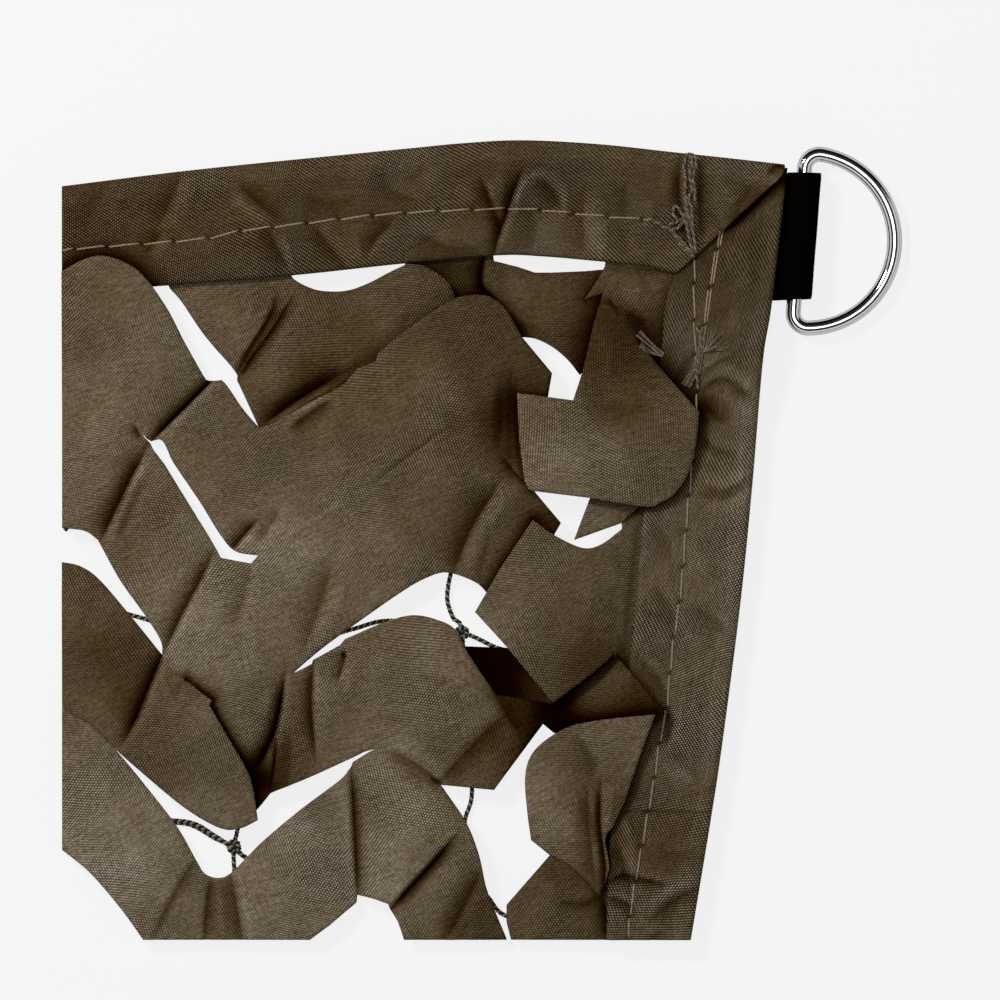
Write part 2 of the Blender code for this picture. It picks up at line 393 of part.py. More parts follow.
def build_leaf_cloth():
    """All panels joined at their shared edges and given the thickness of the sheet."""
    index, places, triangles = {}, [], []
    for panel in PANELS:
        points, faces = panel_triangles(panel, STEP)
        ids = []
        for p in points:
            key = (round(p.x, 3), round(p.y, 3), round(p.z, 3))
            if key not in index:
                index[key] = len(places)
                places.append(p + Vector((0, 0, lift(p.x, p.y) if p.z < RISES_BELOW else 0)))
            ids.append(index[key])
        triangles += [[ids[k] for k in face] for face in faces]
    bm = bmesh.new()
    middle = [bm.verts.new(p) for p in places]
    for t in triangles:
        a, b, c = (places[k] for k in t)
        order = t if (b - a).cross(c - a).z > 0 else t[::-1]
        bm.faces.new([middle[k] for k in order])
    bm.normal_update()
    half = [SHEET / 2 * min(1 / max(v.normal.z, 0.1), MOST_LEAN) for v in middle]
    bm.verts.index_update()
    rims = [e.link_loops[0] for e in bm.edges if len(e.link_faces) == 1]
    rim_pairs = [(loop.vert.index, loop.link_loop_next.vert.index) for loop in rims]
    faces = [[v.index for v in f.verts] for f in bm.faces]
    bm.free()
    solid = bmesh.new()
    upper = [solid.verts.new(p + Vector((0, 0, h))) for p, h in zip(places, half)]
    lower = [solid.verts.new(p - Vector((0, 0, h))) for p, h in zip(places, half)]
    for f in faces:
        solid.faces.new([upper[k] for k in f])
        solid.faces.new([lower[k] for k in reversed(f)])
    for a, b in rim_pairs:
        solid.faces.new([upper[b], upper[a], lower[a], lower[b]])
    return solid


def sweep(stations, caps=True):
    """Closed body through stations that are rings of equal length."""
    bm = bmesh.new()
    rings = [[bm.verts.new(p) for p in ring] for ring in stations]
    for a, b in zip(rings, rings[1:] if caps else rings[1:] + rings[:1]):
        for k in range(len(a)):
            n = (k + 1) % len(a)
            bm.faces.new([a[k], a[n], b[n], b[k]])
    if caps:
        bm.faces.new(rings[0][::-1])
        bm.faces.new(rings[-1])
    bmesh.ops.recalc_face_normals(bm, faces=bm.faces[:])
    return bm


def puff(x, y):
    return sum(h * math.exp(-((x - px) ** 2 + (y - py) ** 2) / r ** 2) for px, py, r, h in PUFFS)


def tape_section(width):
    """Section of the folded tape as distance from its outer edge, height, and whether it is the upper layer."""
    bend = TAPE_TOP / 2
    inner_bend = bend - SHEET
    across = [width, width * 0.74, width * 0.5, width * 0.28]
    turn = [math.radians(a) for a in (-90, -45, 0, 45, 90)]
    outer = [(bend - bend * math.cos(a), bend + bend * math.sin(a)) for a in turn]
    inner = [(bend - inner_bend * math.cos(a), bend + inner_bend * math.sin(a)) for a in turn]
    low = [(u, 0.0, False) for u in across] + [(u, z, False) for u, z in outer]
    top = [(u, TAPE_TOP, True) for u in across[::-1]] + [(u, TAPE_TOP - SHEET, True) for u in across]
    back = [(u, z, False) for u, z in inner[::-1]] + [(u, SHEET, False) for u in across[::-1]]
    return low + top + back


def build_tape(name):
    outer, inner = TAPES[name]
    count = round(LENGTH_Y / TAPE_STEP)
    far = spline([(x, y, 0) for x, y in outer], 0.5)
    near = spline([(x, y, 0) for x, y in inner], 0.5)
    stations = []
    for k in range(count + 1):
        a = far[round(k / count * (len(far) - 1))]
        b = near[round(k / count * (len(near) - 1))]
        width = (b - a).length
        ring = []
        for u, z, upper in tape_section(width):
            p = a.lerp(b, u / width)
            ring.append(Vector((p.x, p.y, z + lift(p.x, p.y) + (puff(p.x, p.y) if upper else 0))))
        stations.append(ring)
    return sweep(stations)


def tube(path, radius, sides):
    """Rings round a path, each square to it."""
    rings = []
    for k, p in enumerate(path):
        along = (path[min(k + 1, len(path) - 1)] - path[max(k - 1, 0)]).normalized()
        side = along.cross(Vector((0, 0, 1))).normalized()
        up = side.cross(along)
        rings.append([p + radius * (math.cos(t) * up + math.sin(t) * side)
                      for t in (2 * math.pi * (j + 0.5) / sides for j in range(sides))])
    return rings


def cord_route(route):
    return [(*KNOTS[p], KNOT_HEIGHT) if isinstance(p, str) else p for p in route]


def build_net():
    """Cords and knots, each a body of its own, to be united."""
    bodies = []
    for route in CORDS:
        path = spline(cord_route(route), CORD_STEP)
        for p in path:
            p.z += lift(p.x, p.y)
        bodies.append(sweep(tube(path, CORD_RADIUS, CORD_SIDES)))
    for x, y in KNOTS.values():
        bm = bmesh.new()
        bmesh.ops.create_icosphere(bm, subdivisions=2, radius=1.0)
        bmesh.ops.scale(bm, vec=KNOT_RADIUS, verts=bm.verts[:])
        bmesh.ops.translate(bm, vec=(x, y, KNOT_HEIGHT), verts=bm.verts[:])
        bodies.append(bm)
    return bodies


def ring_path():
    """Middle line of the D: bar, two corners and the round side, about the middle of the round side."""
    reach = RING_RADIUS - RING_CORNER
    corner = Vector((RING_BAR_X + RING_CORNER, math.sqrt(reach ** 2 - (RING_BAR_X + RING_CORNER) ** 2)))
    turn = math.atan2(corner.y, corner.x)
    path = [Vector((RING_BAR_X, corner.y * t)) for t in (-0.9, -0.45, 0, 0.45, 0.9)]
    for k in range(5):
        a = math.pi + (turn - math.pi) * k / 4
        path.append(corner + RING_CORNER * Vector((math.cos(a), math.sin(a))))
    for k in range(1, 28):
        a = turn * (1 - 2 * k / 28)
        path.append(RING_RADIUS * Vector((math.cos(a), math.sin(a))))
    for k in range(5):
        a = turn + (math.pi - turn) * k / 4
        path.append(Vector((corner.x, -corner.y)) + RING_CORNER * Vector((math.cos(a), -math.sin(a))))
    return path


def bar_height():
    return SHEET + GAP + WIRE_RADIUS


def build_ring():
    """The ring leans with the hem and slopes down until its round side rests on the surface."""
    drop = (bar_height() - WIRE_RADIUS) / (RING_RADIUS - RING_BAR_X)
    path = []
    for p in ring_path():
        q = Vector((p.x * math.cos(RING_LEAN) - p.y * math.sin(RING_LEAN),
                    p.x * math.sin(RING_LEAN) + p.y * math.cos(RING_LEAN)))
        height = bar_height() - drop * (p.x - RING_BAR_X)
        path.append(Vector((RING_CENTRE[0] + q.x, RING_CENTRE[1] + q.y, height)))
    rings = []
    for k, p in enumerate(path):
        along = (path[(k + 1) % len(path)] - path[k - 1]).normalized()
        side = along.cross(Vector((0, 0, 1))).normalized()
        up = side.cross(along)
        rings.append([p + WIRE_RADIUS * (math.cos(t) * up + math.sin(t) * side)
                      for t in (2 * math.pi * j / WIRE_SIDES for j in range(WIRE_SIDES))])
    return sweep(rings, caps=False)


def tab_profile():
    """Section of the folded webbing about the bar, from the bar outwards, as closed run of x and height."""
    centre = SHEET / 2 + TAB_LOOP_RADIUS
    pinch = SHEET * 1.5 + GAP
    start = -TAB_HIDDEN - TAB_LOOP_RADIUS
    end = math.pi + math.asin((centre - pinch) / TAB_LOOP_RADIUS)
    angles = [-math.pi / 2 + (end + math.pi / 2) * k / 18 for k in range(19)]
    outside = [(start, 0.0)]
    outside += [((TAB_LOOP_RADIUS + SHEET / 2) * math.cos(a), centre + (TAB_LOOP_RADIUS + SHEET / 2) * math.sin(a))
                for a in angles[:-1]]
    outside += [(-TAB_LOOP_RADIUS - SHEET / 2, pinch + SHEET / 2), (start, pinch + SHEET / 2)]
    inside_run = [(start, pinch - SHEET / 2)]
    inside_run += [((TAB_LOOP_RADIUS - SHEET / 2) * math.cos(a), centre + (TAB_LOOP_RADIUS - SHEET / 2) * math.sin(a))
                   for a in angles[::-1]]
    inside_run += [(start, SHEET)]
    return outside + inside_run


def build_tab():
    """Webbing folded round the bar, its two ends together under the tape."""
    stations = []
    for k in range(5):
        along = (k / 4 - 0.5) * TAB_WIDTH + TAB_SHIFT
        ring = []
        for x, z in tab_profile():
            px = RING_BAR_X + x
            ring.append(Vector((RING_CENTRE[0] + px * math.cos(RING_LEAN) - along * math.sin(RING_LEAN),
                                RING_CENTRE[1] + px * math.sin(RING_LEAN) + along * math.cos(RING_LEAN), z)))
        stations.append(ring)
    return sweep(stations)


def material(name, colour, roughness, metallic=0.0):
    mat = bpy.data.materials.new(name)
    mat.use_nodes = True
    shader = mat.node_tree.nodes["Principled BSDF"]
    shader.inputs["Base Color"].default_value = (*colour, 1)
    shader.inputs["Roughness"].default_value = roughness
    shader.inputs["Metallic"].default_value = metallic
    return mat


def add_object(name, bm, mat):
    """Object in metres, about the middle of the bottom of the whole."""
    bmesh.ops.translate(bm, vec=(-LENGTH_X / 2, -LENGTH_Y / 2, 0), verts=bm.verts[:])
    bmesh.ops.scale(bm, vec=(MM, MM, MM), verts=bm.verts[:])
    bmesh.ops.triangulate(bm, faces=bm.faces[:])
    mesh = bpy.data.meshes.new(name)
    bm.to_mesh(mesh)
    bm.free()
    mesh.materials.append(mat)
    obj = bpy.data.objects.new(name, mesh)
    bpy.context.scene.collection.objects.link(obj)
    return obj


def unite(obj, cutter):
    cutter.hide_render = True
    cutter.display_type = "WIRE"
    joint = obj.modifiers.new("Union", "BOOLEAN")
    joint.operation = "UNION"
    joint.solver = "EXACT"
    joint.object = cutter


def main():
    for obj in list(bpy.data.objects):
        bpy.data.objects.remove(obj)
    cloth = material("olive_cloth", (0.090, 0.065, 0.040), 0.85)
    cord = material("dark_cord", (0.030, 0.026, 0.020), 0.8)
    webbing = material("black_webbing", (0.004, 0.003, 0.003), 0.7)
    steel = material("polished_steel", (0.75, 0.75, 0.76), 0.12, 1.0)
    add_object("leaf_cloth", build_leaf_cloth(), cloth)
    for name in TAPES:
        add_object(name, build_tape(name), cloth)
    bodies = build_net()
    net = add_object("cord_net", bodies[0], cord)
    for k, body in enumerate(bodies[1:]):
        unite(net, add_object(f"net_joint_{k}", body, cord))
    add_object("webbing_tab", build_tab(), webbing)
    add_object("d_ring", build_ring(), steel)


main()
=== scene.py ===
# Corner of a leaf-cut shade net, lying flat: the fine cloth, tape, cords, sewing, webbing and ring round the packed
# solids. Lengths are in millimetres from the cut corner at the lower left, until a piece is placed.
import math
import random

import bmesh
import bpy
import numpy as np
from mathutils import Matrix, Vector, kdtree, noise
from mathutils.bvhtree import BVHTree
from mathutils.geometry import delaunay_2d_cdt


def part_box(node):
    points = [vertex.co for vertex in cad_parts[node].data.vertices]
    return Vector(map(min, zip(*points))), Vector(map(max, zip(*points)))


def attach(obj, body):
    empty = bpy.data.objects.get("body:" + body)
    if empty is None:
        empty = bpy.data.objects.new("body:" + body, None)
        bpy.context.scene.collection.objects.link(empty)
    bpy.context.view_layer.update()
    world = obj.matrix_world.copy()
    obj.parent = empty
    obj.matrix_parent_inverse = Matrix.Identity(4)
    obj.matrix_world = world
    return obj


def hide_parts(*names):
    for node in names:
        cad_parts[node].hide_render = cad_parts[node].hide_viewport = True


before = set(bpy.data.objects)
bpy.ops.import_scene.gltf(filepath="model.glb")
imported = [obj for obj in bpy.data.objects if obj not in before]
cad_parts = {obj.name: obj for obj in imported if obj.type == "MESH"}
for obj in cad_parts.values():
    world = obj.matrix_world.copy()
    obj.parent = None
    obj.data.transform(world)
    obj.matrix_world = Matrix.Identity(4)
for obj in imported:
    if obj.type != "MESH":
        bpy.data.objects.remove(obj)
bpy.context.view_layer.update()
mm = 0.001
cutCorner = Vector((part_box("leaf_cloth")[0].x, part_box("leaf_cloth")[0].y, 0.0))
dice = random.Random(7)


# one socket of a finish, so that shader maths reads as sums
class Wire:
    def __init__(self, finish, socket):
        self.finish, self.socket = finish, socket

    def maths(self, operation, *values):
        return self.finish.node("ShaderNodeMath", {"operation": operation}, dict(enumerate(values)))

    def __add__(self, other):
        return self.maths("ADD", self, other)

    def __sub__(self, other):
        return self.maths("SUBTRACT", self, other)

    def __rsub__(self, other):
        return self.maths("SUBTRACT", other, self)

    def __mul__(self, other):
        return self.maths("MULTIPLY", self, other)

    def __truediv__(self, other):
        return self.maths("DIVIDE", self, other)

    __radd__, __rmul__ = __add__, __mul__

    def sine(self):
        return self.maths("SINE", self)

    def cosine(self):
        return self.maths("COSINE", self)

    def between(self, low, high):
        return self.finish.node("ShaderNodeClamp", {}, {"Value": self, "Min": low, "Max": high})


class Tree:
    def __init__(self, tree):
        self.tree = tree

    def node(self, kind, settings, values, out=0):
        made = self.tree.nodes.new(kind)
        stops = settings.pop("stops", None)
        for name, value in settings.items():
            setattr(made, name, value)
        if stops:
            for stop in list(made.color_ramp.elements)[1:]:
                made.color_ramp.elements.remove(stop)
            made.color_ramp.elements[0].position = stops[0][0]
            made.color_ramp.elements[0].color = (*stops[0][1], 1)
            for place, colour in stops[1:]:
                made.color_ramp.elements.new(place).color = (*colour, 1)
        for name, value in values.items():
            if isinstance(value, Wire):
                self.tree.links.new(value.socket, made.inputs[name])
            else:
                made.inputs[name].default_value = value
        return Wire(self, made.outputs[out])

    def scaled(self, colour, amount):
        return self.node("ShaderNodeVectorMath", {"operation": "SCALE"}, {0: colour, "Scale": amount})


class Finish(Tree):
    def __init__(self, name, **shader):
        self.made = bpy.data.materials.new(name)
        self.made.use_nodes = True
        super().__init__(self.made.node_tree)
        self.shader = self.tree.nodes["Principled BSDF"]
        for name, value in shader.items():
            self.shader.inputs[name.replace("_", " ")].default_value = value

    def feed(self, name, wire):
        self.tree.links.new(wire.socket, self.shader.inputs[name])

    def bump(self, height, distance, strength=1.0):
        self.feed("Normal", self.node("ShaderNodeBump", {}, {"Strength": strength, "Distance": distance, "Height": height}))


# --- curves ---
def spline(points, step):
    pts = [Vector(p) for p in points]
    ends = [2 * pts[0] - pts[1]] + pts + [2 * pts[-1] - pts[-2]]
    dense = []
    for a, b, c, d in zip(ends, ends[1:], ends[2:], ends[3:]):
        for k in range(12):
            t = k / 12
            dense.append(0.5 * (2 * b + (c - a) * t + (2 * a - 5 * b + 4 * c - d) * t * t
                                + (3 * b - a - 3 * c + d) * t * t * t))
    dense.append(pts[-1])
    return even(dense, step)


def even(path, step):
    lengths = [0.0]
    for a, b in zip(path, path[1:]):
        lengths.append(lengths[-1] + (b - a).length)
    count = max(1, round(lengths[-1] / step))
    out = []
    for k in range(count + 1):
        target = lengths[-1] * k / count
        i = min(max(np.searchsorted(lengths, target) - 1, 0), len(path) - 2)
        span = max(lengths[i + 1] - lengths[i], 1e-9)
        out.append(path[i].lerp(path[i + 1], min((target - lengths[i]) / span, 1.0)))
    return out


def straight(points, step):
    pts = [Vector(p) for p in points]
    out = [pts[0]]
    for a, b in zip(pts, pts[1:]):
        out += even([a, b], step)[1:]
    return out


def smoothStep(low, high, value):
    t = np.clip((value - low) / (high - low), 0.0, 1.0)
    return t * t * (3.0 - 2.0 * t)


# signed distance of each place from a run of points, positive on its left, and its share of the way along
def beside(places, run):
    best, signed, along = np.full(len(places), 1e9), np.zeros(len(places)), np.zeros(len(places))
    pts = np.array([p[:2] for p in run], float)
    lengths = np.hypot(*(pts[1:] - pts[:-1]).T)
    total, done = lengths.sum(), 0.0
    for a, b, length in zip(pts, pts[1:], lengths):
        t = np.clip(((places - a) @ (b - a)) / length ** 2, 0, 1)
        away = places - a - t[:, None] * (b - a)
        d = np.hypot(*away.T)
        closer = d < best
        left = np.sign((b - a)[0] * away[:, 1] - (b - a)[1] * away[:, 0])
        best[closer], signed[closer], along[closer] = d[closer], (d * left)[closer], ((done + t * length) / total)[closer]
        done += length
    return signed, along


# A crease has a sharp side on the left of its run and a slow one on its right, and narrows to its ends.
# It gives the depth, the shade and the lit lip beside the sharp side, each from 0 to 1.
def creaseShape(places, run, width):
    signed, along = beside(places, spline([(*p, 0) for p in run], 1.5))
    fade = smoothStep(-0.06, 0.3, along) * smoothStep(-0.06, 0.3, 1 - along)
    narrow = width * (0.4 + 0.6 * fade)
    d = signed / narrow
    left, right = np.maximum(d, 0), np.maximum(-d, 0)
    depth = np.exp(-(left / 0.7) ** 2 - (right / 1.5) ** 2) * fade
    shade = np.exp(-(left / min(0.45, 0.4 / width)) ** 2 - (right / 1.5) ** 1.4) * fade
    lip = np.exp(-((d - 1.2) / 0.7) ** 2) * fade
    return depth, shade, lip


# --- pieces ---
def place(bm):
    bmesh.ops.scale(bm, vec=(mm, mm, mm), verts=bm.verts[:])
    bmesh.ops.translate(bm, vec=cutCorner, verts=bm.verts[:])


def addPiece(name, bm, finish, replaced=()):
    place(bm)
    mesh = bpy.data.meshes.new(name)
    bm.to_mesh(mesh)
    bm.free()
    mesh.shade_smooth()
    mesh.materials.append(finish.made)
    piece = bpy.data.objects.new(name, mesh)
    bpy.context.scene.collection.objects.link(piece)
    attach(piece, "root")
    if replaced:
        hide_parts(*replaced)
    return piece


# round strands along runs of points, as one mesh; a point's fourth number scales its thickness
def strands(runs, radius, sides=6, closed=False):
    curve = bpy.data.curves.new("strand", "CURVE")
    curve.dimensions = "3D"
    curve.bevel_depth = radius
    curve.bevel_resolution = max(0, sides // 2 - 2)
    curve.use_fill_caps = True
    for run in runs:
        line = curve.splines.new("POLY")
        line.points.add(len(run) - 1)
        line.use_cyclic_u = closed
        for point, p in zip(line.points, run):
            point.co = (p[0], p[1], p[2], 1)
            point.radius = p[3] if len(p) > 3 else 1.0
    holder = bpy.data.objects.new("strand", curve)
    bpy.context.scene.collection.objects.link(holder)
    bpy.context.view_layer.update()
    mesh = bpy.data.meshes.new_from_object(holder.evaluated_get(bpy.context.evaluated_depsgraph_get()))
    bpy.data.objects.remove(holder)
    bm = bmesh.new()
    bm.from_mesh(mesh)
    bpy.data.meshes.remove(mesh)
    return bm


# --- woven cloth ---
cloth = {
    "step": 0.85,             # spacing of the fine points
    "coarse": 4.6,            # spacing that the solid was laid out with
    "thickness": 0.3,
    "rounding": 40,           # rounds of smoothing over the coarse facets
    "ripple": (0.22, 11.0),   # height and length of the small unevenness
    "weavePitch": 0.50,
    "riseUnderTape": 2.6,
}


# tone 0 is cloth in deep shade and 180 is a yarn that catches the light; one ramp turns it into the colour
paleTone = 180
clothRamp = [(0, (0.0008, 0.0001, 0.0001)), (12, (0.0037, 0.0006, 0.0001)), (20, (0.0070, 0.0014, 0.0001)),
             (33, (0.0152, 0.0060, 0.0008)), (48, (0.0296, 0.0162, 0.0046)), (63, (0.0497, 0.0314, 0.0132)),
             (77, (0.0742, 0.0510, 0.0264)), (91, (0.1046, 0.0762, 0.0455)), (106, (0.1441, 0.1112, 0.0735)),
             (120, (0.188, 0.152, 0.107)), (135, (0.242, 0.204, 0.150)), (153, (0.318, 0.282, 0.228)),
             (180, (0.44, 0.41, 0.36))]


# The yarns make dots in three directions of rows, and "rows" is how much each direction shows.
def wovenFinish(name, pitch, contrast, rows, gain, bump):
    made = Finish(name, Roughness=0.88, Specular_IOR_Level=0.0)
    uv = made.node("ShaderNodeUVMap", {"uv_map": "weave"}, {})
    parts = made.node("ShaderNodeSeparateXYZ", {}, {0: uv})
    across, along = parts, Wire(made, parts.socket.node.outputs[1])
    turns = 2 * math.pi / (pitch * mm)
    slow = made.node("ShaderNodeTexNoise", {"noise_dimensions": "2D"}, {"Vector": uv, "Scale": 70.0, "Detail": 0.0}, 1)
    pulls = made.node("ShaderNodeSeparateXYZ", {}, {0: slow})
    dots = 0.0
    for k, line in enumerate((across * turns, across * (0.5 * turns) + along * (0.866 * turns),
                              along * (0.866 * turns) - across * (0.5 * turns))):
        pull = Wire(made, pulls.socket.node.outputs[k])
        dots = dots + line.cosine() * (rows[k] + 4.0 * (pull - 0.5)).between(0.4, 1.9)
    uneven = made.node("ShaderNodeTexNoise", {"noise_dimensions": "2D"}, {"Vector": uv, "Scale": 160.0, "Detail": 3.0, "Roughness": 0.6})
    yarnPlace = made.node("ShaderNodeVectorMath", {"operation": "MULTIPLY"}, {0: uv, 1: (260.0, 2400.0, 1.0)})
    yarn = made.node("ShaderNodeTexNoise", {"noise_dimensions": "2D"}, {"Vector": yarnPlace, "Scale": 1.0, "Detail": 1.0})
    speck = made.node("ShaderNodeTexNoise", {"noise_dimensions": "2D"}, {"Vector": uv, "Scale": 1300.0, "Detail": 1.0})
    tone = made.node("ShaderNodeAttribute", {"attribute_name": "tone"}, {}, 2)
    lit = tone * (1 + contrast * dots + 0.24 * (uneven - 0.5) + 0.35 * (yarn - 0.5) + 0.45 * (speck - 0.5))
    shade = made.node("ShaderNodeValToRGB", {"stops": [(at / paleTone, colour) for at, colour in clothRamp]}, {0: lit.between(0.01, 1.0)})
    made.feed("Base Color", made.scaled(shade, gain))
    made.feed("Roughness", 0.87 + 0.03 * dots)
    made.bump(dots + 1.5 * yarn, bump * mm)
    return made


def toned(bm, tones):
    layer = bm.verts.layers.float.get("tone") or bm.verts.layers.float.new("tone")
    for v, tone in zip(bm.verts, tones):
        v[layer] = tone / paleTone


# tone at each place from the nearest named places
def blendTones(places, seeds):
    spots = np.array(seeds, float)
    weight = 1 / (((places[:, None, :] - spots[None, :, :2]) ** 2).sum(2) + 9.0) ** 1.8
    return (weight * spots[:, 2]).sum(1) / weight.sum(1)


def ripple(x, y, height, length):
    return height * noise.noise(Vector((x / length, y / length, 0.3))) + 0.35 * height * noise.noise(
        Vector((2.7 * x / length, 2.7 * y / length, 4.3)))


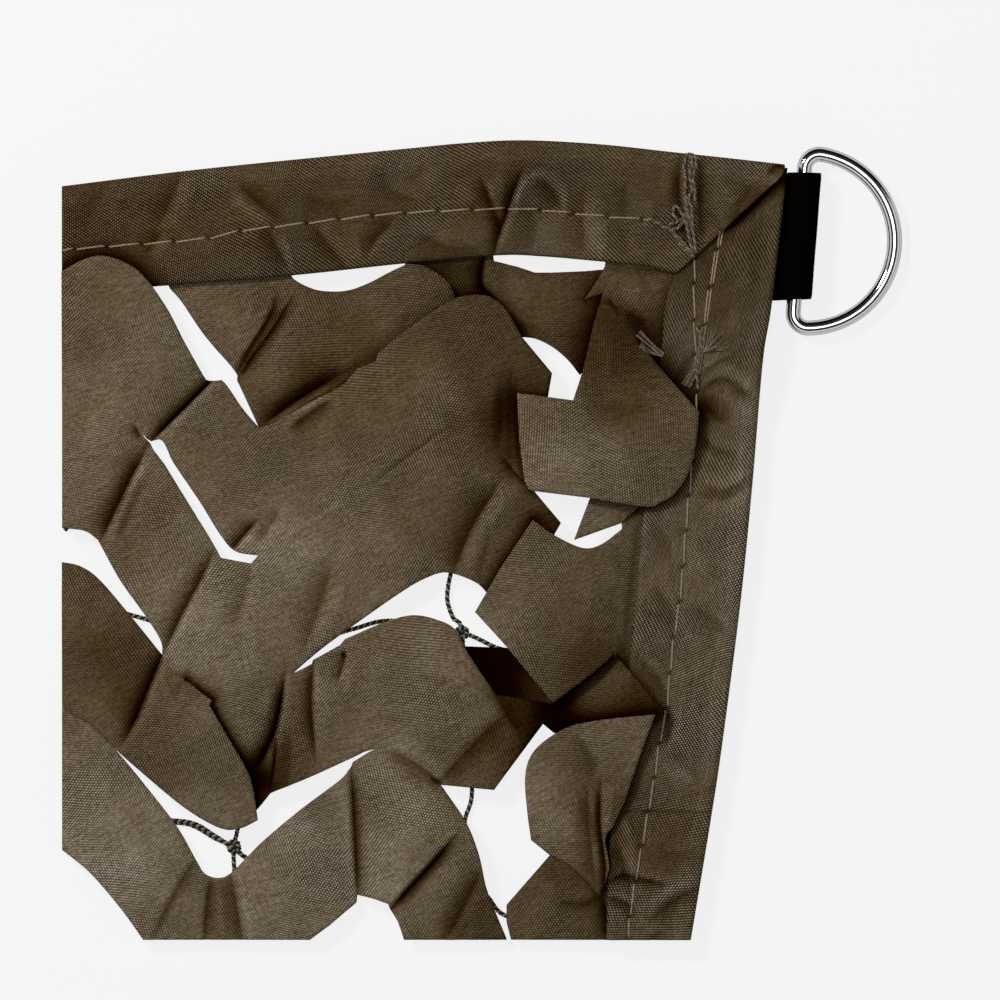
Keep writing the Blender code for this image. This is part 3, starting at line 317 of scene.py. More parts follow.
# Edges of the leaves as x, y and middle height. "curve" is a smooth run and "line" has corners.
inTape = 3.1
leafEdges = {
    # upper left leaf and the wide centre leaf
    "cutA": ("line", [(0, 82.4, 3.4), (0, 110, 3.9), (0, 126, 6.0), (0, 133.6, 6.6)]),
    "arch": ("curve", [(0, 133.6, 6.6), (3.6, 135.7, 6.8), (7.4, 136.8, 7.1), (11.2, 136.1, 7.1),
                       (14.8, 134.2, 6.9), (17.6, 131.4, 6.6), (19.2, 129.2, 6.2)]),
    "archSide": ("curve", [(19.2, 129.2, 6.2), (21.6, 125.4, 5.3), (24.4, 119.8, 4.6), (28.8, 112, 4.2)]),
    "pleatMouth": ("line", [(28.8, 112, 4.2), (30.2, 111.7, 2.6), (31.8, 112, 4.0)]),
    "centreTop": ("curve", [(31.8, 112, 4.0), (33.2, 110.6, 4.0), (36.2, 106.2, 3.9), (39.4, 102.4, 2.8)]),
    "valley": ("curve", [(39.4, 102.4, 2.8), (43.6, 104.0, 2.3), (48.2, 106.8, 2.2), (54.6, 110, 3.0)]),
    "lobeFoot": ("line", [(54.6, 110, 3.0), (56.6, 111.4, 4.3), (59, 114.2, 5.3), (62.8, 115.8, 5.7),
                          (63.2, 117.2, 5.9)]),
    "lobe": ("curve", [(63.2, 117.2, 5.9), (67.6, 121, 6.4), (75.6, 126.6, 7.2), (79, 128.4, 7.4),
                       (82.8, 129, 7.6), (86, 128.4, 7.6), (89, 125.8, 7.4), (91.8, 120.8, 6.6)]),
    "lobeRight": ("line", [(91.8, 120.8, 6.6), (98, 113.4, 4.6), (97.2, 108.8, 3.9), (96.6, 99, 3.6),
                           (94.6, 89.6, 3.6), (99.8, 83.4, 3.8), (98.2, 80.6, 3.4)]),
    "underT": ("curve", [(98.2, 80.6, 3.4), (97, 74, 3.0), (92, 67.6, 2.8), (85, 69.4, 3.1)]),
    "gapMiddleTop": ("curve", [(85, 69.4, 3.1), (82.6, 71.6, 3.5), (77, 73.5, 3.7), (72.6, 72.3, 4.0),
                               (67.6, 69.4, 4.3), (57.6, 62.4, 4.1), (51.4, 57.8, 3.7), (46, 53.2, 3.0)]),
    "wideTopLeft": ("line", [(46, 53.2, 3.0), (50, 55.2, 4.6), (50.2, 56, 4.9), (55.6, 59, 5.4),
                             (56.6, 60.2, 5.6)]),
    "wideTop": ("curve", [(56.6, 60.2, 5.6), (64.6, 63.6, 6.1), (70.6, 65, 6.4), (76.4, 63.6, 6.6),
                          (79.2, 61.8, 6.6)]),
    "wideRight": ("curve", [(79.2, 61.8, 6.6), (80.4, 58.7, 6.6), (83.4, 54, 6.2), (85.2, 51.4, 5.8), (86.8, 49, 5.2)]),
    "neckTop": ("line", [(86.8, 49, 5.2), (90, 48.6, 4.9), (94, 47.9, 4.5), (97, 47.5, 3.8), (98, 47.0, 3.2)]),
    "darkSeam": ("line", [(98, 47.0, 3.2), (102.5, 52.5, 2.6)]),
    "underTee": ("line", [(102.5, 52.5, 2.6), (109.5, 58.4, 3.1), (111.2, 56.4, 3.9)]),
    "bracketRight": ("line", [(111.2, 56.4, 3.9), (112.6, 54.8, 5.4), (114, 53.2, 6.2), (120.2, 46, 6.4)]),
    "bracketEnd": ("line", [(120.2, 46, 6.4), (119.2, 43.2, 6.2)]),
    "underLobe": ("line", [(119.2, 43.2, 6.2), (110, 41, 5.9), (103, 40, 4.4), (98.4, 41.4, 3.7)]),
    "gapRight": ("line", [(98.4, 41.4, 3.7), (96.2, 43.2, 3.7), (86.4, 30, 4.4), (75.8, 31, 3.2)]),
    "lowRight": ("curve", [(75.8, 31, 3.2), (80.8, 23.6, 4.2), (83.4, 17, 4.5), (85, 10, 4.0), (89, 0, 2.4)]),
    "cutLow": ("line", [(89, 0, 2.4), (78, 0, 3.4), (68.4, 0, 3.0), (67.2, 3.6, 3.4), (65.6, 6.2, 2.4)]),
    "lowNotch": ("line", [(65.6, 6.2, 2.4), (65.2, 7.2, 3.5), (62.6, 8.2, 4.0), (59, 9, 2.6), (58.8, 7.4, 2.6),
                          (53.6, 3, 3.8), (49.6, 0, 3.4)]),
    "cutLeft": ("line", [(49.6, 0, 3.4), (38, 0, 3.2), (30, 0, 2.4), (16.2, 0, 3.2)]),
    "lowLeft": ("curve", [(16.2, 0, 3.2), (11.6, 6.4, 3.7), (5.6, 13.4, 3.7), (0, 18, 3.2)]),
    "cutSide": ("line", [(0, 18, 3.2), (0, 32, 3.8), (0, 46, 3.8)]),
    "leftSeam": ("line", [(0, 46, 3.8), (5.6, 43.2, 3.6), (10.8, 38, 3.4)]),
    "gapLowSide": ("curve", [(10.8, 38, 3.4), (15, 33, 4.0), (22.8, 23, 4.3), (27, 15.6, 3.6), (28.6, 13.2, 3.2),
                             (31, 12.4, 3.0), (33.8, 13.4, 3.2), (40, 19.6, 4.0), (47.6, 26, 4.6),
                             (55.6, 32, 4.2), (57.8, 34.6, 3.4)]),
    "gapLowTip": ("line", [(57.8, 34.6, 3.4), (58.2, 35.6, 3.4), (60.4, 37.0, 3.4), (62.6, 38.3, 3.4)]),
    "wideLow": ("curve", [(62.6, 38.3, 3.4), (60.4, 37.6, 3.8), (58.2, 36.5, 4.2), (49.6, 32.6, 4.6), (41.6, 29.4, 3.8)]),
    "creaseFoot": ("line", [(41.6, 29.4, 3.8), (40, 27.2, 2.6), (38.6, 25.6, 2.2)]),
    "underLeft": ("line", [(38.6, 25.6, 2.2), (35.4, 30, 2.2), (32, 37, 2.4), (29.2, 43.5, 2.6), (28.6, 46.2, 2.8),
                           (26.4, 49.6, 3.0), (24.6, 52, 3.4)]),
    "leftJoin": ("line", [(24.6, 52, 3.4), (20, 57, 3.2)]),
    "gapLeftTop": ("curve", [(20, 57, 3.2), (19.8, 59.8, 3.8), (16.6, 65, 4.5), (11.6, 72, 4.7), (7.2, 80, 4.0)]),
    "archLow": ("curve", [(7.2, 80, 4.0), (4.6, 81.8, 3.7), (0, 82.4, 3.4)]),
    # long gap
    "slotRight": ("curve", [(19.3, 100.2, 3.4), (20.0, 99.9, 3.4), (20.6, 99.1, 3.5), (21.2, 97.8, 3.6), (22.4, 95.3, 3.7), (27.6, 87.6, 3.8), (31.4, 81.4, 3.8),
                            (34.6, 77.8, 3.6), (39.2, 76.9, 3.2)]),
    "slotLeft": ("line", [(39.2, 76.9, 3.2), (37.8, 75.3, 3.4), (31.8, 76.4, 4.0), (29.6, 80.4, 4.4),
                          (20.6, 95, 4.2), (18.3, 98, 3.7), (17.6, 99.4, 3.5), (16.6, 100.4, 3.4), (15.9, 101.6, 3.3),
                          (17.0, 100.3, 2.8), (17.9, 99.8, 2.6), (18.6, 100, 2.9), (19.3, 100.2, 3.4)]),
    # uncut strip in the tape, and the leaves that hang straight from it
    "stripTop": ("curve", [(0, 145.5, inTape), (27.6, 149, inTape), (67.6, 153, inTape), (91.6, 154.8, inTape),
                           (107.6, 154, inTape), (138, 149.6, inTape)]),
    "stripSide": ("curve", [(138, 149.6, inTape), (136, 127.6, inTape), (134, 108, inTape), (130.2, 68, inTape),
                            (126.6, 40, inTape), (120.6, 0, inTape)]),
    "cutFoot": ("line", [(120.6, 0, inTape), (108.4, 0, inTape), (98, 0, 2.8), (89.8, 0, 2.6), (88.9, 3.6, 2.8),
                         (88.9, 7, 3.0), (97.6, 17, 3.6)]),
    "footSeam": ("curve", [(97.6, 17, 3.6), (100.6, 15.4, 3.9), (104, 12.4, 4.2), (107.5, 8.6, 3.9)]),
    "footTuck": ("line", [(107.5, 8.6, 3.9), (107.2, 12, 3.0), (107.0, 20, 2.9), (108.4, 24, 3.0), (111, 25.4, inTape),
                          (113.4, 20, inTape)]),
    "stripLow": ("curve", [(113.4, 20, inTape), (115, 35, inTape), (116.6, 48, inTape), (116.8, 53, inTape)]),
    "patchLow": ("line", [(116.8, 53, inTape), (114.4, 51.6, 2.9), (110.6, 53.2, 2.7), (109.2, 55.7, 2.9),
                          (111.4, 57.9, 5.0)]),
    "teeLowRight": ("line", [(111.4, 57.9, 5.0), (109.5, 56.3, 5.9), (105.6, 53, 6.4), (98.2, 47.4, 5.4)]),
    "teeLowLeft": ("curve", [(98.2, 47.4, 5.4), (93.6, 53, 5.7), (88.6, 59, 5.7), (82.6, 65.6, 5.2)]),
    "teeLeft": ("line", [(82.6, 65.6, 5.2), (87.6, 74.2, 5.2), (94.2, 84, 5.4)]),
    "teeTop": ("curve", [(94.2, 84, 5.4), (98.6, 80.9, 5.4), (104.2, 78.4, 5.6), (108, 79.2, 5.2),
                         (112, 82.2, 4.2)]),
    "smallLow": ("line", [(112, 82.2, 4.2), (112, 83.4, 4.0), (102.4, 80, 5.4)]),
    "smallLeft": ("line", [(102.4, 80, 5.4), (105.6, 88.4, 4.8), (107.6, 94, 4.2)]),
    "smallTop": ("line", [(107.6, 94, 4.2), (114.5, 95.5, 3.4), (117.4, 96.2, inTape), (120.5, 97, inTape)]),
    "stripMiddle": ("line", [(120.5, 97, inTape), (121.5, 107, inTape)]),
    "cornerLow": ("line", [(121.5, 107, inTape), (119.4, 109.5, inTape), (117.6, 112.6, inTape), (117.2, 115.6, 3.4),
                           (116.2, 118.0, 3.9), (115.6, 119.6, 4.8)]),
    "flapSeam": ("curve", [(115.6, 119.6, 4.8), (113.8, 123, 4.9), (112, 125.6, 4.8), (108.2, 129.4, 4.4)]),
    "cornerTip": ("line", [(108.2, 129.4, 4.4), (104.6, 128.2, 4.6), (107.2, 132.2, 4.1)]),
    "cornerLeft": ("line", [(107.2, 132.2, 4.1), (108.6, 134.8, 3.2), (109, 138.4, inTape)]),
    "stripRight": ("line", [(109, 138.4, inTape), (98, 139.6, inTape), (86, 138.8, inTape)]),
    "hoodSeam": ("line", [(86, 138.8, inTape), (77, 138.4, inTape), (68.6, 138, inTape)]),
    "stripLeft": ("curve", [(68.6, 138, inTape), (57, 137, inTape), (46, 135.6, inTape)]),
    "fanTop": ("curve", [(46, 135.6, inTape), (46, 132.6, 3.3), (50, 130.3, 3.8), (53.8, 129.7, 4.0),
                         (57.6, 130, 4.2), (61.6, 131.5, 4.4), (65.6, 133.6, 4.7), (69.0, 135.2, 5.0)]),
    "fanCorner": ("curve", [(69.0, 135.2, 5.0), (72, 134.9, 5.2), (74.6, 133.6, 5.3), (77, 131.8, 5.2),
                            (78.2, 129.6, 5.1), (78.8, 127.6, 5.0)]),
    "fanHidden": ("line", [(78.8, 127.6, 5.0), (79, 124.8, 4.8), (75, 121.6, 4.4), (68, 117.2, 3.9),
                           (62, 113.2, 3.6), (58.8, 112.6, 3.3), (56.4, 110.9, 3.1), (54.6, 110, 3.0)]),
    "fanLeft": ("curve", [(39.4, 102.4, 2.8), (37.2, 107.2, 3.3), (35, 112, 3.8)]),
    "fanSide": ("curve", [(35, 112, 3.8), (34.6, 113.8, 4.0), (28.6, 120.8, 4.4), (23.8, 127.8, 3.6),
                          (21.4, 130.6, inTape), (20.8, 133.6, inTape)]),
    "stripCut": ("line", [(20.8, 133.6, inTape), (0, 132.4, inTape), (0, 145.5, inTape)]),
    # leaf behind the centre leaf, hung from the top strip
    "hoodTop": ("line", [(86, 138.8, inTape), (86.4, 135.8, inTape), (91, 134.7, 3.4), (94.6, 133.5, 3.3), (98, 133.5, 3.2),
                         (104.6, 133.8, 2.2), (107.6, 134.1, 1.4), (110.5, 134, 1.3)]),
    "hoodRight": ("line", [(110.5, 134, 1.3), (110.5, 128, 1.4), (107.6, 118, 1.9), (103.6, 113, 2.4)]),
    "hoodLow": ("curve", [(103.6, 113, 2.4), (101.2, 116, 3.0), (98, 118.7, 3.5), (94.6, 120.3, 3.6),
                          (91.4, 120.6, 3.2), (88, 120.8, 2.7)]),
    "hoodHidden": ("line", [(88, 120.8, 2.7), (80, 122.6, 2.4), (72.5, 128, 2.5), (68.6, 132.6, 2.9),
                            (68.6, 138, inTape)]),
    # twisted flap over the right side
    "flapRight": ("line", [(115.6, 119.6, 4.8), (117, 117.7, 6.0), (118.6, 115.6, 6.6), (122.6, 111, 7.2),
                           (127.4, 105.6, 7.6)]),
    "flapRound": ("curve", [(127.4, 105.6, 7.6), (126.8, 99.6, 7.6), (125.4, 93.8, 7.4), (122.8, 89.6, 7.2),
                            (119.6, 87.4, 6.9), (116.4, 86.7, 6.8), (105.6, 88.4, 6.9)]),
    "flapLow": ("line", [(105.6, 88.4, 6.9), (94.2, 89.8, 7.0), (93.2, 90.4, 7.0), (92.5, 91.8, 7.0), (91.5, 100, 7.2),
                         (91, 109.4, 7.4), (102.2, 107.9, 7.0)]),
    "flapLeft": ("curve", [(102.2, 107.9, 7.0), (104.2, 114.2, 6.4), (106.2, 122.6, 5.4), (108.2, 129.4, 4.4)]),
    # leaf on the left that lies over the centre leaf
    "cutE": ("line", [(0, 46, 3.8), (0, 60, 4.2), (0, 75.6, 4.5)]),
    "gapLeftLow": ("curve", [(0, 75.6, 4.5), (3.6, 74.8, 4.7), (7.4, 72.2, 4.9), (13.6, 65, 5.0), (20, 57, 3.2)]),
    "leftRight": ("line", [(24.6, 52, 3.4), (27.2, 50, 4.4), (30.0, 47.9, 5.0), (29.5, 46.9, 5.1), (31, 44.4, 5.3),
                           (33.2, 40.6, 5.3), (36, 35.9, 5.2), (37.6, 32.8, 5.1), (38.4, 29.4, 4.9), (39.2, 24, 4.4)]),
    "leftLow": ("curve", [(39.2, 24, 4.4), (35.6, 22.3, 4.6), (31.6, 22.4, 4.8), (24.6, 26.4, 5.0),
                          (15.6, 33.8, 4.2), (10.8, 38, 3.4)]),
    # leaf deep between the wide leaf and the one held by the side tape, whose tones paint it dark as deep shade
    "darkTop": ("line", [(102.5, 52.5, 2.6), (96, 58, 2.2), (89.2, 58.4, 2.2), (78.8, 58.8, 2.8)]),
    "darkLow": ("line", [(78.8, 58.8, 2.8), (81.4, 51.5, 2.4), (84.6, 46.4, 2.1), (91.4, 45.8, 1.9),
                         (94.6, 46.0, 2.3), (98, 47.0, 3.2)]),
    # lobe that curls over the side tape
    "curlRight": ("line", [(107.5, 8.6, 3.9), (108.7, 11.6, 5.4), (109.4, 14.6, 5.9), (109.0, 17.2, 5.9),
                           (108.5, 19.6, 5.8), (108.8, 21.2, 5.8), (110.2, 22.8, 6.2), (112.6, 28, 6.6),
                           (115.6, 37, 7.2), (118.6, 45.2, 8.0)]),
    "curlTop": ("curve", [(118.6, 45.2, 8.0), (112.6, 44.6, 7.9), (107.4, 44, 7.5), (101.6, 42.8, 6.6),
                          (96.4, 39.8, 5.9), (93.6, 36.6, 5.5), (92.6, 32.4, 5.2), (93, 26, 4.8), (93.8, 20, 4.2)]),
    "curlNotch": ("line", [(93.8, 20, 4.2), (97.6, 17, 3.6)]),
}

# Each leaf or group of leaves that lies in one layer: its edges in order, the gap in it, and its main folds.
# A "-" runs an edge backwards. A fold is a run of x, y and middle height, low for a valley and high for a ridge.
leafPanels = {
    "centre": (
        ["cutA", "arch", "archSide", "pleatMouth", "centreTop", "valley", "lobeFoot", "lobe", "lobeRight", "underT",
         "gapMiddleTop", "wideTopLeft", "wideTop", "wideRight", "neckTop", "darkSeam", "underTee", "bracketRight", "bracketEnd",
         "underLobe",
         "gapRight", "lowRight", "cutLow", "lowNotch", "cutLeft", "lowLeft", "cutSide", "leftSeam", "gapLowSide",
         "gapLowTip", "wideLow", "creaseFoot", "underLeft", "leftJoin", "gapLeftTop", "archLow"],
        ["slotRight", "slotLeft"],
        [[(30.2, 111.7, 2.6), (24, 105.6, 2.3), (17.6, 100.2, 2.5)],
         [(27, 110, 5.2), (20, 104, 5.0)], [(32.4, 107.6, 5.0), (24, 100.6, 4.8)],
         [(8, 122, 6.2), (16, 119, 6.0)],
         [(17, 96, 3.4), (11, 86, 2.8), (7.2, 80, 4.0)], [(19, 88, 4.8), (14, 79, 5.0)],
         [(29, 76, 3.4), (24, 66, 2.9), (20.6, 59, 3.0)],
         [(45, 88, 4.6), (40, 96, 4.8)], [(60, 103, 4.8), (50, 98, 4.6)],
         [(64, 112.6, 5.9), (72, 116, 6.7), (80, 120, 7.2), (86, 121, 7.2)], [(84, 106, 6.0), (88, 114, 6.3)],
         [(92.6, 112.4, 4.8), (93, 106, 3.9), (92.4, 96, 3.6)],
         [(86, 82, 3.1), (80, 76, 3.1)], [(66, 84, 5.2), (60, 74, 4.8)], [(50, 72, 4.2), (38, 62, 4.4)],
         [(46, 53.2, 3.0), (43.6, 49, 2.2), (42.4, 42, 2.1), (40.4, 34, 2.1), (38.6, 25.6, 2.2)],
         [(47, 48, 5.0), (46, 38, 4.6)], [(50.2, 53, 4.4), (50.6, 44, 4.0), (51.6, 38, 4.2)],
         [(64, 54, 6.4), (74, 52, 6.6), (80, 48, 6.4)],
         [(87.6, 46, 4.6), (82, 38, 3.9), (75.8, 31, 3.2)], [(62.6, 38.3, 3.4), (70, 35.6, 3.2), (75.8, 31, 3.2)],
         [(58.4, 33.4, 3.2), (58.6, 20, 2.9), (59, 9, 2.6)], [(78, 20, 4.6), (71, 13, 3.0), (65.6, 6.2, 2.4)],
         [(31, 12.4, 3.0), (30, 0, 2.4)], [(27, 14, 3.2), (20, 2, 2.9)],
         [(112.4, 51, 6.2), (112, 46, 6.3), (111.6, 42, 6.2)]],
    ),
    "margin": (
        ["stripTop", "stripSide", "cutFoot", "footSeam", "footTuck", "stripLow", "patchLow", "teeLowRight", "teeLowLeft",
         "teeLeft", "teeTop", "smallLow", "smallLeft", "smallTop", "stripMiddle", "cornerLow", "flapSeam",
         "cornerTip", "cornerLeft", "stripRight", "hoodSeam", "stripLeft", "fanTop", "fanCorner", "fanHidden",
         "-valley", "fanLeft", "fanSide", "stripCut"],
        [],
        [[(109.2, 3, inTape), (108.7, 6.2, inTape)],
         [(114.4, 64, inTape), (115.2, 72, inTape), (116, 80, inTape), (116.6, 86, inTape)],
         [(107, 60, 6.2), (108, 70, 5.8)], [(92, 66, 5.8), (98, 72, 5.8)],
         [(112.6, 83.2, 3.9), (115.2, 86.4, inTape)],
         [(108.8, 136, inTape), (115, 135.6, inTape), (121.4, 134.4, inTape), (120, 126, inTape), (119.4, 118, inTape)],
         [(112, 131, 4.0), (116, 127, 3.9)],
         [(22, 132, inTape), (34, 132.6, inTape), (45, 133.8, inTape)],
         [(35, 112, 3.8), (40, 119, 2.9), (43.6, 126, 3.0)], [(38, 111, 4.8), (44, 119, 4.6)],
         [(50, 112, 4.6), (58, 119, 4.8), (66, 125, 4.9)]],
    ),
    "hood": (["-hoodSeam", "hoodTop", "hoodRight", "hoodLow", "hoodHidden"], [],
             [[(84.2, 136.4, inTape), (84, 132, 2.6), (85, 127, 2.5)], [(70, 136, inTape), (78, 136, inTape), (83, 136.2, inTape)],
              [(78, 131, 2.9), (82, 131, 2.9)], [(90, 130, 3.8), (96, 127, 3.9)]]),
    "flap": (["flapRight", "flapRound", "flapLow", "flapLeft", "-flapSeam"], [],
             [[(110, 120, 6.0), (112, 113, 6.8)], [(98, 99, 7.6), (112, 98, 7.8), (120, 97, 7.8)]]),
    "left": (["cutE", "gapLeftLow", "-leftJoin", "leftRight", "leftLow", "-leftSeam"], [],
             [[(20, 57, 3.2), (16.6, 50, 3.2), (13, 42.6, 3.3)], [(22, 42, 5.2), (28, 34, 5.2)]]),
    "dark": (["darkSeam", "darkTop", "darkLow"], [], []),
    "curl": (["footSeam", "curlRight", "curlTop", "curlNotch"], [],
             [[(110.6, 26, 6.4), (111, 33, 6.8), (111.6, 40, 7.5)], [(107.6, 34, 5.8), (107, 26, 5.2)],
              [(102, 36, 6.4), (100, 26, 5.4)]]),
}

# Outer and inner edge of each tape, in the order of matching points
tapeEdges = {
    "binding_top": (
        [(0, 150.6), (27.6, 154), (67.6, 158), (80, 159.2), (92, 159.8), (107.6, 159), (124, 157.2), (144.4, 154.9)],
        [(0, 129.4), (18.6, 130.8), (46, 133), (68.6, 135.4), (87, 137), (96, 136.8), (108.6, 135.7), (122, 134.4)]),
    "binding_side": (
        [(144.9, 154.4), (141.8, 127.6), (140, 116), (138, 92), (135.6, 68), (132, 40), (129.6, 24), (125.6, 0)],
        [(122.35, 134.0), (120.6, 126), (120, 118), (117, 92), (114.8, 68), (112, 40), (109.6, 19), (109.0, 0)]),
}
# Puffs of the upper layer of the tape: middle, reach and height
tapePuffs = [(97, 150, 6, 0.9), (80, 148, 7, 0.7), (42, 146, 7, 0.8), (20, 143, 8, 0.6), (62, 147, 8, 0.5),
         (131, 128, 6, 0.4), (128, 92, 8, 0.6), (124, 62, 7, 0.5), (119, 12, 6, 0.8), (121, 34, 7, 0.5)]


# Tone of each leaf, as x, y and tone, which paints its light and shade together with its own changes of colour, and the
# small creases in it, as a run of places, depth, width and how dark the painted shade in it is (below 0 a painted
# highlight)
leafTones = {
    "centre": [(6, 124, 84), (16, 118, 94), (8, 104, 96), (8, 92, 95), (22, 108, 86), (14, 86, 80), (26, 78, 94),
               (30, 104, 86), (36, 92, 86), (48, 100, 80), (60, 106, 76), (74, 106, 82), (84, 112, 70), (80, 124, 68),
               (90, 98, 68), (87, 90, 84), (70, 94, 83), (52, 90, 90), (30, 70, 102), (44, 78, 106), (60, 76, 94), (76, 82, 80),
               (88, 82, 76), (34, 56, 102), (26, 62, 106), (44, 62, 95), (56, 66, 88), (47, 46, 72), (43, 36, 44),
               (53, 52, 90), (53, 42, 90), (64, 56, 91), (74, 56, 98), (70, 44, 96), (82, 46, 93), (64, 34, 106),
               (56, 30, 100), (70, 26, 106), (46, 22, 117), (64, 14, 108), (76, 14, 94), (84, 8, 64), (40, 14, 105),
               (40, 6, 101), (22, 6, 96), (14, 14, 114), (6, 30, 104), (4, 22, 110), (18, 24, 104), (92, 44, 62),
               (88, 38, 60), (80, 34, 84), (110, 52, 70), (114, 48, 50), (106, 48, 70), (97, 45, 14), (99, 48, 6), (95, 87, 68), (97, 83.6, 40),
               (95, 43, 16), (84, 37, 76),
               (39.2, 32, 6), (39.4, 27, 42), (89, 106, 46), (46, 36, 74), (39, 46, 90), (37, 42, 92), (36, 48, 90),
               (30, 5, 86), (2, 43, 86), (6, 40, 90), (3, 37, 98), (9, 37, 94)],
    "margin": [(30, 122, 87), (40, 116, 82), (46, 124, 74), (56, 122, 68), (66, 126, 76), (74, 130, 74), (50, 112, 56),
               (114, 130, 80), (112, 124, 48), (118, 120, 56), (116, 133, 76), (112, 90, 87), (108, 86, 92),
               (116, 85, 78), (104, 72, 82), (92, 68, 86), (88, 62, 92), (98, 60, 78), (108, 66, 74), (113, 74, 79),
               (106, 56, 54), (99, 13, 66), (96, 10, 76), (94, 4, 80), (104, 8, 74), (112, 10, 76), (112.4, 56, 66), (109.8, 21.4, 4), (108.6, 16, 50), (108.4, 11, 56)],
    "hood": [(90, 130, 80), (104, 128, 66), (98, 124, 70), (106, 122, 46), (76, 134.6, 38), (80, 132, 58), (82, 131, 60), (82, 134, 52)],
    "flap": [(98, 104, 90), (98, 94, 99), (110, 96, 92), (120, 96, 82), (122, 104, 81), (112, 108, 66),
             (110, 116, 54), (114, 120, 48)],
    "left": [(4, 66, 76), (10, 56, 60), (20, 50, 78), (28, 44, 88), (34, 34, 84), (30, 27, 95), (20, 36, 76),
             (12, 48, 60), (22, 54, 80), (2, 50, 76), (5, 46, 80), (8, 42, 82)],
    "dark": [(85, 54, 12), (90, 50.5, 10), (93, 51.5, 40), (96, 49.6, 44), (90, 54.6, 14), (88, 56, 12), (99, 51, 50)],
    "curl": [(100, 38, 82), (96, 30, 100), (108, 40, 88), (114, 42, 90), (104, 30, 76), (108, 28, 70), (98, 22, 101), (104, 14, 76), (106, 12, 82), (100, 18, 88)],
}
